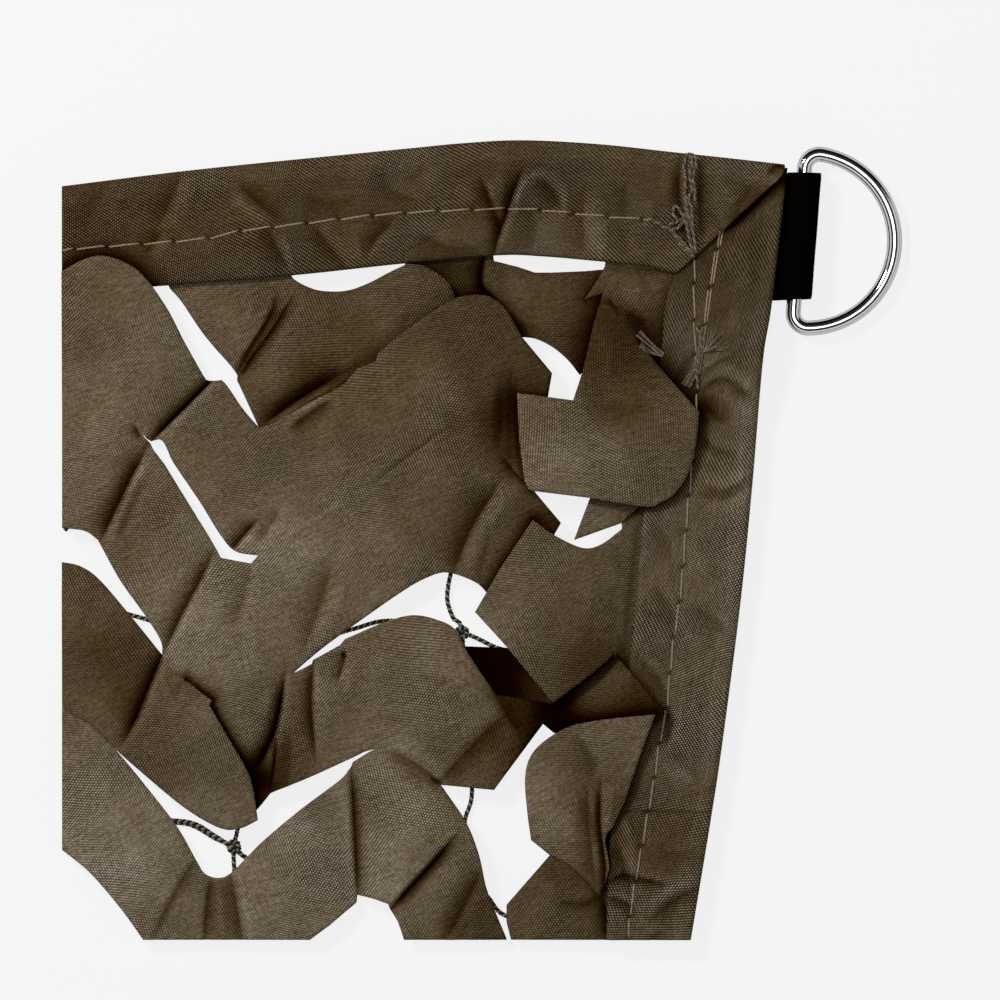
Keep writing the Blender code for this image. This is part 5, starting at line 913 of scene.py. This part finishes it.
def makeTape(name):
    outer, inner = tapeEdges[name]
    columns, rows = tape["columns"], tape["rows"]
    far = even(spline([(x, y, 0) for x, y in outer], 0.5), 0.05)
    near = even(spline([(x, y, 0) for x, y in inner], 0.5), 0.05)
    mitreAtEnd = name == "binding_top"
    bm = bmesh.new()
    bmesh.ops.create_grid(bm, x_segments=columns, y_segments=rows, size=0.5)
    uv = bm.loops.layers.uv.new("weave")
    half = (tape["top"] - tape["thickness"]) / 2
    share = tape["foldShare"]
    flat, where = np.zeros((len(bm.verts), 2)), []
    for k, v in enumerate(bm.verts):
        s, c = v.co.x + 0.5, v.co.y * 2
        a, b = far[round(s * (len(far) - 1))], near[round(s * (len(near) - 1))]
        width = (b - a).length
        if abs(c) < share:
            turn = c / share * math.pi / 2
            u = half * (1 - abs(math.cos(turn)) ** 0.6)
            level = half * math.copysign(abs(math.sin(turn)) ** 0.6, turn)
        else:
            u = half + (abs(c) - share) / (1 - share) * (width - half)
            level = math.copysign(half, c)
        p = a.lerp(b, u / width)
        toMitre = (1 - s if mitreAtEnd else s) * 150
        if c > 0 and mitreAtEnd:
            lap = smoothStep(7, 0, toMitre) * min(1, c / share)
            p += Vector((0.675, -0.738, 0)) * tape["overlap"] * lap
            level += 0.55 * lap
        elif c > 0:
            level -= 0.5 * smoothStep(5, 1, toMitre)
        flat[k] = p.xy
        where.append((level, c, u, s, toMitre))
    # the face's relief, and the painted shade and highlight to put into the tone
    relief, dark = tapeRelief(flat)
    rise = tapeLift(flat[:, 0], flat[:, 1])
    tones = blendTones(flat, tape["tones"][name]) * dark
    for k, (v, (level, c, u, s, toMitre)) in enumerate(zip(bm.verts, where)):
        upper = max(0.0, min(1.0, c / share))
        extra = relief[k] * upper + rise[k] * (1 - upper)
        tuck = 0.0
        if c > 0:
            tuck = -0.55 * float(smoothStep(0.955, 1.0, c))
        v.co = (flat[k][0], flat[k][1], tape["top"] / 2 + level + extra + tuck)
        if c < 0:
            v.co.z = max(v.co.z, tape["thickness"] / 2)
        # painted shadow on the side tape below the top tape's mitre edge, deeper towards its outer edge
        if not mitreAtEnd and c > 0:
            mitreShadowShare = 0.25 + 0.75 * float(smoothStep(128, 137, flat[k][0]))
            tones[k] *= 1 - 0.72 * mitreShadowShare * float(smoothStep(5.4, 1.4, toMitre))
        # painted highlight along the top of the fold at the tape's outer edge
        tones[k] *= 1 + 0.10 * float(smoothStep(0.12, 0.03, abs(c - 0.1)))
    toned(bm, tones)
    length = 156.0
    for face in bm.faces:
        for loop in face.loops:
            k = loop.vert.index
            level, c, u, s, toMitre = where[k]
            x, y = flat[k]
            pull = [1.1 * noise.noise(Vector((x / 15, y / 15, level))) for level in (3.0, 6.0)]
            loop[uv].uv = ((s * length + pull[0]) * mm, (math.copysign(u, c) + pull[1]) * mm)
    bmesh.ops.recalc_face_normals(bm, faces=bm.faces[:])
    piece = addPiece(name.replace("binding", "tape"), bm, wovenFinish(name + "_weave", 0.52, 0.23, tape["yarnRows"][name], 0.797, 0.03), [name])
    solid = piece.modifiers.new("Thickness", "SOLIDIFY")
    solid.thickness = tape["thickness"] * mm
    solid.offset = 0
    print("tape:", name)
    return piece


tapePieces = [makeTape(name) for name in tapeEdges]


# height of the pieces' own upper faces, for what lies on them
landing = [BVHTree.FromObject(piece, bpy.context.evaluated_depsgraph_get()) for piece in [clothPiece] + tapePieces]


def topAt(x, y, trees=landing):
    hits = [tree.ray_cast((x * mm + cutCorner.x, y * mm + cutCorner.y, 1), (0, 0, -1))[0] for tree in trees]
    return max([hit.z / mm for hit in hits if hit] or [0.0])


def threadFinish(name, colour, uneven=0.9):
    made = Finish(name, Roughness=0.75, Specular_IOR_Level=0.1)
    place = made.node("ShaderNodeTexCoord", {}, {}, 3)
    grain = made.node("ShaderNodeTexNoise", {}, {"Vector": place, "Scale": 2600.0, "Detail": 2.0})
    base = made.node("ShaderNodeCombineXYZ", {}, dict(enumerate(colour)))
    made.feed("Base Color", made.scaled(base, (1 + uneven * 2 * (grain - 0.5)).between(0.1, 3.0)))
    made.bump(grain, 0.1 * mm)
    return made


# a stitch rises out of one hole, lies on the tape and goes down the next
def stitchRun(a, b):
    run = []
    for k in range(13):
        p = a.lerp(b, k / 12)
        arch = min(1.0, k / 1.6, (12 - k) / 1.6)
        run.append((p.x, p.y, topAt(p.x, p.y, landing[1:]) + seams["proud"] - 0.45 * (1 - arch), 0.7 + 0.3 * arch))
    return run


def sewing():
    runs = [stitchRun(a, b) for name in stitches for a, b in stitches[name]]
    for a, b in stitches["second"]:          # a second thread lies beside each of these
        runs.append(stitchRun(a + Vector((0.62, 0.2, 0)), b + Vector((0.5, 0.3, 0))))
    under = []
    for name in ("top", "side"):
        for a, b in stitches[name]:
            rise = float(tapeLift(a.x, a.y))
            under.append([(a.x, a.y, 0.3 + rise, 0.8), (*a.lerp(b, 0.5).xy, 0.24 + rise, 1.0), (b.x, b.y, 0.3 + rise, 0.8)])
    return addPiece("stitches", strands(runs + under, seams["radius"]), threadFinish("tan_thread", seams["colour"]))


sewing()
print("stitches:", sum(len(s) for s in stitches.values()))


# two strands laid round each other along a run
def laid(run, lay, pitch, phase=0.0):
    sides, done = [], 0.0
    for k, p in enumerate(run):
        done += (p - run[k - 1]).length if k else 0.0
        ahead = (run[min(k + 1, len(run) - 1)] - run[max(k - 1, 0)]).normalized()
        side = ahead.cross(Vector((0, 0, 1))).normalized()
        sides.append((p, side, side.cross(ahead), done / pitch * 2 * math.pi + phase))
    return [[p + lay * (math.cos(turn + half) * side + math.sin(turn + half) * up) for p, side, up, turn in sides] for half in (0, math.pi)]


# Loose thread left from the sewing. "twisted" are two-ply ends with the height of their middle over what they lie on,
# "bundles" are loose fibres side by side (run, count, width at each end), and "brushes" fan out from a base.
looseThread = {
    "radius": 0.2, "lay": 0.19, "pitch": 1.7,
    "twisted": [[(124.9, 157.2, 0.2), (124.4, 154.8, 0.5), (124.7, 152, 0.5), (124.6, 149.2, 0.5)],
                [(125.8, 157.4, 0.3), (126.8, 155.6, 0.5), (126.2, 152.6, 0.5), (126.5, 149.8, 0.5), (126.6, 148, 0.4)],
                [(125.4, 157.3, 0.3), (126.0, 155.4, 0.8), (125.5, 153, 0.6), (126.0, 150.2, 0.7), (125.2, 148, 0.5), (124.9, 146.4, 0.4)],
                [(124.4, 149.4, 0.5), (125.4, 147.6, 0.8), (126.0, 146.0, 0.7), (125.7, 144.0, 0.4)],
                [(124.8, 148.8, 0.6), (124.7, 147, 0.6), (125.3, 145, 0.5), (125.6, 144, 0.4)],
                [(122.8, 146.9, 0.4), (122.2, 146.2, 0.5), (122.4, 144.8, 0.5), (123.2, 143.8, 0.7)],
                [(122.9, 146.8, 0.5), (124.0, 145.2, 0.6), (124.8, 143.2, 0.8), (125.4, 140.6, 0.8), (126.2, 137.4, 0.4)],
                [(126.0, 145.0, 0.5), (126.1, 142, 0.6), (126.6, 139, 0.5), (126.7, 137.4, 0.3)],
                [(121.5, 143.0, 0.5), (122.8, 143.5, 0.6), (124.0, 144.2, 0.6)], [(122.1, 142.0, 0.5), (123.2, 142.5, 0.8), (124.3, 143.7, 0.7)],
                [(118.2, 144.0, 0.2), (120.2, 142.7, 0.3), (122.2, 141.7, 0.4), (122.9, 140.3, 0.5), (124.4, 138.4, 0.4), (126.4, 136.6, 0.2)],
                [(122.5, 141.2, 0.4), (123.6, 140.2, 0.5), (124.8, 138.8, 0.4), (126.3, 136.9, 0.3)],
                [(127, 122.4, 0.3), (127.9, 120, 0.4), (127.6, 117.4, 0.5)], [(127.5, 117.4, 0.4), (127.0, 114, 0.5), (127.1, 111, 0.3)]],
    "bundles": [([(128.2, 122.2), (127.7, 118.6), (127.3, 115.6), (126.9, 113.2)], 9, 0.9, 1.3), ([(127.4, 117), (126.2, 113.6), (124.7, 110.8)], 9, 0.8, 1.5),
                ([(124.4, 145.4), (125.2, 142.4), (126.3, 137.6)], 6, 1.1, 0.5),
                ([(120.2, 117), (117.6, 119.2), (115.2, 121.4)], 7, 0.6, 1.5), ([(120, 116.7), (117.6, 117.6), (115.6, 119)], 4, 0.4, 0.9)],
    "brushes": [((128.3, 117.5), 16, 4.6, 40, 24)],
}


def loose():
    t = looseThread
    plies = [[], []]
    for k, run in enumerate(t["twisted"]):
        path = [Vector((p.x, p.y, topAt(p.x, p.y) + p.z)) for p in spline(run, 0.22)]
        for ply, strand in zip(plies, laid(path, t["lay"], t["pitch"], k)):
            ply.append(strand)
    fine = []
    for run, count, first, last in t["bundles"]:
        path = spline([(*p, 0) for p in run], 0.5)
        side = (path[-1] - path[0]).normalized().cross(Vector((0, 0, 1)))
        for n in range(count):
            off, wave, rise = n / (count - 1) - 0.5, dice.uniform(0, 6), dice.uniform(0.15, 0.6)
            fibre = []
            for k, p in enumerate(path):
                share = k / (len(path) - 1)
                q = p + side * (off * (first + (last - first) * share) + 0.12 * math.sin(wave + 3 * share))
                fibre.append((q.x, q.y, topAt(q.x, q.y) + rise, 1.0 - 0.3 * share))
            fine.append(fibre)
    for (x, y), count, long, way, spread in t["brushes"]:
        for n in range(count):
            angle = math.radians(way + spread * (2 * n / (count - 1) - 1) + dice.uniform(-4, 4))
            bend, reach, rise = dice.uniform(-0.35, 0.35), long * dice.uniform(0.7, 1.05), dice.uniform(0.2, 0.8)
            fibre = []
            for k in range(9):
                share = k / 8
                qx, qy = x + reach * share * math.cos(angle + bend * share), y + reach * share * math.sin(angle + bend * share)
                fibre.append((qx, qy, topAt(qx, qy) + 0.2 + rise * math.sin(share * 2.4), 1.0 - 0.55 * share))
            fine.append(fibre)
    # the second ply of each twisted end and a quarter of the fibres take the darker copy, painted shade between the
    # strands
    worn, shaded = threadFinish("worn_thread", seams["loose"], 1.3), threadFinish("shaded_thread", seams["shaded"], 1.3)
    addPiece("loose_thread", strands(plies[0], t["radius"]), worn)
    addPiece("loose_thread_shaded", strands(plies[1], t["radius"]), shaded)
    addPiece("thread_tufts", strands(fine[::2] + fine[1::4], 0.13), worn)
    addPiece("thread_tufts_shaded", strands(fine[3::4], 0.13), shaded)


loose()
print("loose thread")


# --- cord net ---
knots = {"lowLeft": (34.3, 18.6), "lowRight": (80, 18), "midLeft": (34.6, 63), "midRight": (80, 61.4),
         "topLeft": (42, 97), "topRight": (80, 101)}
lowCord = 0.6
heldCord = 1.8
knotHeight = 1.1
# Routes of the cords as x, y and middle height; a name stands for a knot
cordRoutes = [
    [(0.3, 24.5, lowCord), (12, 23.6, lowCord), (21.6, 23.4, lowCord), (26, 22.8, lowCord), (30.6, 20.2, 0.8), "lowLeft", (38, 15.6, lowCord), (50, 12, lowCord),
     (66, 14, lowCord), "lowRight", (82.6, 12, lowCord), (85.4, 8.2, lowCord), (88.6, 4.8, lowCord), (97, 3, lowCord),
     (104, 5, 1.1), (108.6, 6.6, heldCord), (118, 8, heldCord)],
    [(0.3, 66.5, lowCord), (10, 65.8, lowCord), (15, 64.6, lowCord), (25, 62, lowCord), "midLeft", (46, 59, lowCord), (57.6, 62, lowCord),
     (66, 63.8, lowCord), "midRight", (87.6, 58.2, lowCord), (94, 57.8, lowCord), (104, 58.4, lowCord), (109, 59, 1.1),
     (113.4, 59.6, heldCord), (122, 61, heldCord)],
    [(0.5, 82, lowCord), (2.6, 85, lowCord), (8, 97, lowCord), (16, 106, lowCord), (26, 106.4, lowCord), (34, 101, lowCord), "topLeft", (58, 91, lowCord), "topRight",
     (96, 97, lowCord), (108, 98, lowCord), (113, 99, 1.1), (117.6, 100, heldCord), (125, 101, heldCord)],
    [(36, 0.2, lowCord), (34.8, 8, lowCord), (34.4, 13.6, lowCord), "lowLeft", (35.2, 23, lowCord), (38, 40, lowCord), "midLeft",
     (40, 72, lowCord), (43.5, 84, lowCord), "topLeft", (43, 104, lowCord), (42.5, 118, lowCord), (40, 126, 1.1), (39, 132.4, heldCord), (38, 142, heldCord)],
    [(79, 0.2, lowCord), (79, 9, lowCord), "lowRight", (80.6, 24, lowCord), (82, 30, lowCord), (80.6, 45, lowCord), "midRight",
     (78.2, 64.4, lowCord), (77.1, 67.6, lowCord), (77.2, 70.6, lowCord), (78, 75, lowCord), (79, 85, lowCord), "topRight", (78.4, 118, lowCord), (79.6, 128, 0.9),
     (80, 135.4, heldCord), (80, 145, heldCord)],
]


def routePoints(route, step):
    return spline([(*knots[p], knotHeight) if isinstance(p, str) else p for p in route], step)


cord = {"strand": 0.28, "lay": 0.23, "pitch": 1.3, "step": 0.15, "knotSize": 1.15,
        "darkPly": (0.006, 0.005, 0.004), "palePly": (0.13, 0.113, 0.088)}


def makeNet():
    plies = [[], []]

    def lay(run, width, pitch, phase=0.0):
        for ply, strand in zip(plies, laid(run, width, pitch, phase)):
            ply.append(strand)

    for route in cordRoutes:
        run = routePoints(route, cord["step"])
        for p in run:
            p.z = max(p.z, 0.66) + float(tapeLift(p.x, p.y))
        lay(run, cord["lay"], cord["pitch"])
    for x, y in knots.values():
        for turn in range(3):
            angle = turn * 1.1 + x
            loop = []
            for k in range(40):
                t = 2 * math.pi * k / 39
                px, py = cord["knotSize"] * math.cos(t), 0.6 * cord["knotSize"] * math.sin(t)
                loop.append(Vector((x + px * math.cos(angle) - py * math.sin(angle), y + px * math.sin(angle) + py * math.cos(angle),
                                    1.35 + 0.5 * math.sin(2 * t + turn))))
            lay(loop, 0.2, 1.2, turn)
    # the second cord of the doubled loop beside the lower left knot
    lay(spline([(17.4, 24.0, 0.7), (25.6, 23.4, 1.1), (30.4, 20.8, 1.3), (33.4, 18.8, 1.7), (36.4, 16.6, 1.2), (38, 15.9, 0.8)], cord["step"]),
        cord["lay"], cord["pitch"], 0.8)
    for name, ply in zip(("dark", "pale"), plies):
        addPiece(name + "_ply", strands(ply, cord["strand"]), threadFinish(name + "_twist", cord[name + "Ply"]), ["cord_net"])


makeNet()
print("cord net")

# --- ring and its webbing ---
ring = {"radius": 17.5, "wire": 1.5, "corner": 3.0, "bar": -1.7, "centre": (149.1, 139.9), "lean": math.radians(-4.5), "sheet": 1.0, "gap": 0.3}
webbing = {"width": 25.4, "shift": 0.45, "hidden": 8.0, "loop": 3.0, "thickness": 0.95}


def leaned(px, py):
    c, s = math.cos(ring["lean"]), math.sin(ring["lean"])
    return ring["centre"][0] + px * c - py * s, ring["centre"][1] + px * s + py * c


def makeRing():
    r, corner, bar = ring["radius"], ring["corner"], ring["bar"]
    reach = r - corner
    cx = bar + corner
    cy = math.sqrt(reach ** 2 - cx ** 2)
    turn = math.atan2(cy, cx)
    path = [(bar, cy * t) for t in np.linspace(-0.97, 0.97, 26)]
    path += [(cx + corner * math.cos(a), cy + corner * math.sin(a)) for a in np.linspace(math.pi, turn, 14)]
    path += [(r * math.cos(a), r * math.sin(a)) for a in np.linspace(turn, -turn, 90)[1:-1]]
    path += [(cx + corner * math.cos(a), -cy - corner * math.sin(a)) for a in np.linspace(turn, math.pi, 14)]
    height = ring["sheet"] + ring["gap"] + ring["wire"]
    drop = (height - ring["wire"]) / (r - bar)
    run = [(*leaned(x, y), height - drop * (x - bar)) for x, y in path]
    bm = strands([run], ring["wire"], 28, True)
    return addPiece("wire_ring", bm, steelFinish, ["d_ring"])


def makeSteel():
    made = Finish("polished_steel", Metallic=1.0, Roughness=0.06, Specular_Tint=(0.5, 0.5, 0.51, 1))
    place = made.node("ShaderNodeTexCoord", {}, {}, 3)
    wear = made.node("ShaderNodeTexNoise", {}, {"Vector": place, "Scale": 700.0, "Detail": 4.0})
    base = made.node("ShaderNodeCombineXYZ", {}, {0: 0.56, 1: 0.56, 2: 0.565})
    made.feed("Base Color", made.scaled(base, 0.9 + 0.2 * wear))
    made.feed("Roughness", 0.03 + 0.06 * wear)
    made.bump(wear, 0.02 * mm)
    return made


steelFinish = makeSteel()
makeRing()
print("ring")


# webbing folded round the bar, as a sheet whose long way follows the fold
def makeWebbing():
    w = webbing
    middle = ring["sheet"] / 2 + w["loop"]
    pinch = ring["sheet"] * 1.5 + ring["gap"]
    start = -w["hidden"] - w["loop"]
    end = math.pi + math.asin((middle - pinch) / w["loop"])
    profile = [(start + k * (-start) / 10, ring["sheet"] / 2) for k in range(10)]
    profile += [(w["loop"] * math.cos(a), middle + w["loop"] * math.sin(a)) for a in np.linspace(-math.pi / 2, end, 40)]
    left = profile[-1]
    profile += [(left[0] + (start - left[0]) * k / 8, left[1] + (pinch - left[1]) * k / 8) for k in range(1, 9)]
    run = even([Vector((x, z, 0)) for x, z in profile], 0.12)
    bm = bmesh.new()
    across = 110
    bmesh.ops.create_grid(bm, x_segments=len(run) - 1, y_segments=across, size=0.5)
    uv = bm.loops.layers.uv.new("weave")
    uvs = {}
    for v in bm.verts:
        k = round((v.co.x + 0.5) * (len(run) - 1))
        along = v.co.y * w["width"]
        p, q = run[k], run[min(k + 1, len(run) - 1)] - run[max(k - 1, 0)]
        out = Vector((q.y, -q.x)).normalized()
        rib = 0.015 * math.cos(along / 1.15 * 2 * math.pi) - 0.14 * smoothStep(0.475, 0.5, abs(v.co.y))
        bow = 0.12 * math.sin(along * 0.5 + 1) * 0.4
        px, z = ring["bar"] + p.x + out.x * float(rib), p.y + out.y * float(rib)
        pull = (0.075 + 0.045 * (0.5 - along / w["width"])) * (px - ring["bar"] + w["loop"])
        x, y = leaned(px + bow * 0.4, along + w["shift"] + pull)
        v.co = (x, y, max(z, 0.49))
        uvs[v] = (k * 0.12 * mm, along * mm)
    for face in bm.faces:
        for loop in face.loops:
            loop[uv].uv = uvs[loop.vert]
    bmesh.ops.recalc_face_normals(bm, faces=bm.faces[:])
    piece = addPiece("webbing_loop", bm, webbingFinish, ["webbing_tab"])
    solid = piece.modifiers.new("Thickness", "SOLIDIFY")
    solid.thickness = w["thickness"] * mm
    solid.offset = 0
    return piece


def makeWebbingFinish():
    made = Finish("black_ribbed_weave", Roughness=0.62, Specular_IOR_Level=0.0)
    uv = made.node("ShaderNodeUVMap", {"uv_map": "weave"}, {})
    parts = made.node("ShaderNodeSeparateXYZ", {}, {0: uv})
    across, along = parts, Wire(made, parts.socket.node.outputs[1])
    weft = (across * (2 * math.pi / (0.62 * mm))).sine()
    warp = (along * (2 * math.pi / (0.575 * mm))).sine()
    streak = made.node("ShaderNodeTexNoise", {"noise_dimensions": "2D"}, {"Vector": made.node("ShaderNodeVectorMath", {"operation": "MULTIPLY"}, {0: uv, 1: (2600.0, 240.0, 1.0)}), "Scale": 1.0, "Detail": 2.0})
    base = made.node("ShaderNodeCombineXYZ", {}, {0: 0.0012, 1: 0.0007, 2: 0.0006})
    made.feed("Base Color", made.scaled(base, 0.55 + 0.3 * (weft * warp) + 0.9 * streak))
    made.feed("Roughness", 0.66 - 0.10 * weft)
    made.bump(weft * warp + 0.6 * streak, 0.09 * mm)
    return made


webbingFinish = makeWebbingFinish()
makeWebbing()
print("webbing")

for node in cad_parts.values():
    node.data.materials.clear()
    node.data.materials.append(clothFinish.made)

# --- floor, light and camera ---
studio = {
    "floor": (0.05, 0.05, 0.05), "floorGlow": 0.82,
    "view": (3.6, 8.1),       # middle of the view, in millimetres from the middle of the footprint
    "across": 0.2, "lens": 400.0,
    # place, size and power of each lamp
    "key": ((-0.45, 0.42, 0.62), 0.16, 7.9), "top": ((0.05, 0.0, 1.3), 0.6, 5.9),
    # how bright the room is from the horizon to overhead, and how dark its far side
    "room": [(0.0, 0.42), (0.22, 0.42), (0.30, 1.15), (0.42, 1.15), (0.45, 0.4), (0.49, 0.4), (0.52, 1.2), (0.62, 1.2),
             (0.69, 0.04), (0.93, 0.04), (0.96, 0.9), (0.975, 0.3), (0.985, 0.3), (0.99, 0.9)], "farSide": 0.99,
}



def makeFloor():
    bm = bmesh.new()
    bmesh.ops.create_grid(bm, x_segments=8, y_segments=8, size=3.0)
    bmesh.ops.translate(bm, vec=(0, 0, -0.0002), verts=bm.verts[:])
    mesh = bpy.data.meshes.new("floor")
    bm.to_mesh(mesh)
    bm.free()
    floor = bpy.data.objects.new("floor", mesh)
    bpy.context.scene.collection.objects.link(floor)
    made = Finish("pale_floor", Roughness=0.9)
    made.shader.inputs["Base Color"].default_value = (*studio["floor"], 1)
    made.shader.inputs["Emission Color"].default_value = (1, 1, 1, 1)
    made.shader.inputs["Emission Strength"].default_value = studio["floorGlow"]
    mesh.materials.append(made.made)


def makeLight(name, where, size, power):
    lamp = bpy.data.lights.new(name, "AREA")
    lamp.shape = "DISK"
    lamp.size = size
    lamp.energy = power
    holder = bpy.data.objects.new(name, lamp)
    holder.location = where
    holder.rotation_mode = "QUATERNION"
    holder.rotation_quaternion = (Vector(where) - Vector((0, 0, 0))).to_track_quat("Z", "Y")
    holder.visible_camera = False
    bpy.context.scene.collection.objects.link(holder)


def makeCamera():
    lens = bpy.data.cameras.new("overhead")
    lens.lens = studio["lens"]
    lens.sensor_width = 36.0
    lens.clip_end = 50.0
    camera = bpy.data.objects.new("overhead", lens)
    camera.location = (studio["view"][0] * mm, studio["view"][1] * mm, 0.004 + studio["across"] * studio["lens"] / 36.0)
    bpy.context.scene.collection.objects.link(camera)
    bpy.context.scene.camera = camera


def makeRoom():
    room = bpy.data.worlds.new("studio")
    room.use_nodes = True
    made = Tree(room.node_tree)
    place = made.node("ShaderNodeTexCoord", {}, {})
    parts = made.node("ShaderNodeSeparateXYZ", {}, {0: place})
    away, height = Wire(made, parts.socket.node.outputs[1]), Wire(made, parts.socket.node.outputs[2])
    bands = made.node("ShaderNodeValToRGB", {"stops": [(at, (glow,) * 3) for at, glow in studio["room"]]}, {0: height})
    low = made.node("ShaderNodeMapRange", {}, {0: height, 1: 0.66, 2: 0.72, 3: 1.0, 4: 0.0})
    far = made.node("ShaderNodeMapRange", {}, {0: away, 1: 0.30, 2: 0.45, 3: 0.0, 4: studio["farSide"]})
    glow = made.scaled(bands, 1 - low * far)
    room.node_tree.links.new(glow.socket, room.node_tree.nodes["Background"].inputs["Color"])
    bpy.context.scene.world = room


makeFloor()
for name in ("key", "top"):
    makeLight(name, *studio[name])
makeRoom()
bpy.context.scene.view_settings.view_transform = "Standard"
makeCamera()
print("studio")
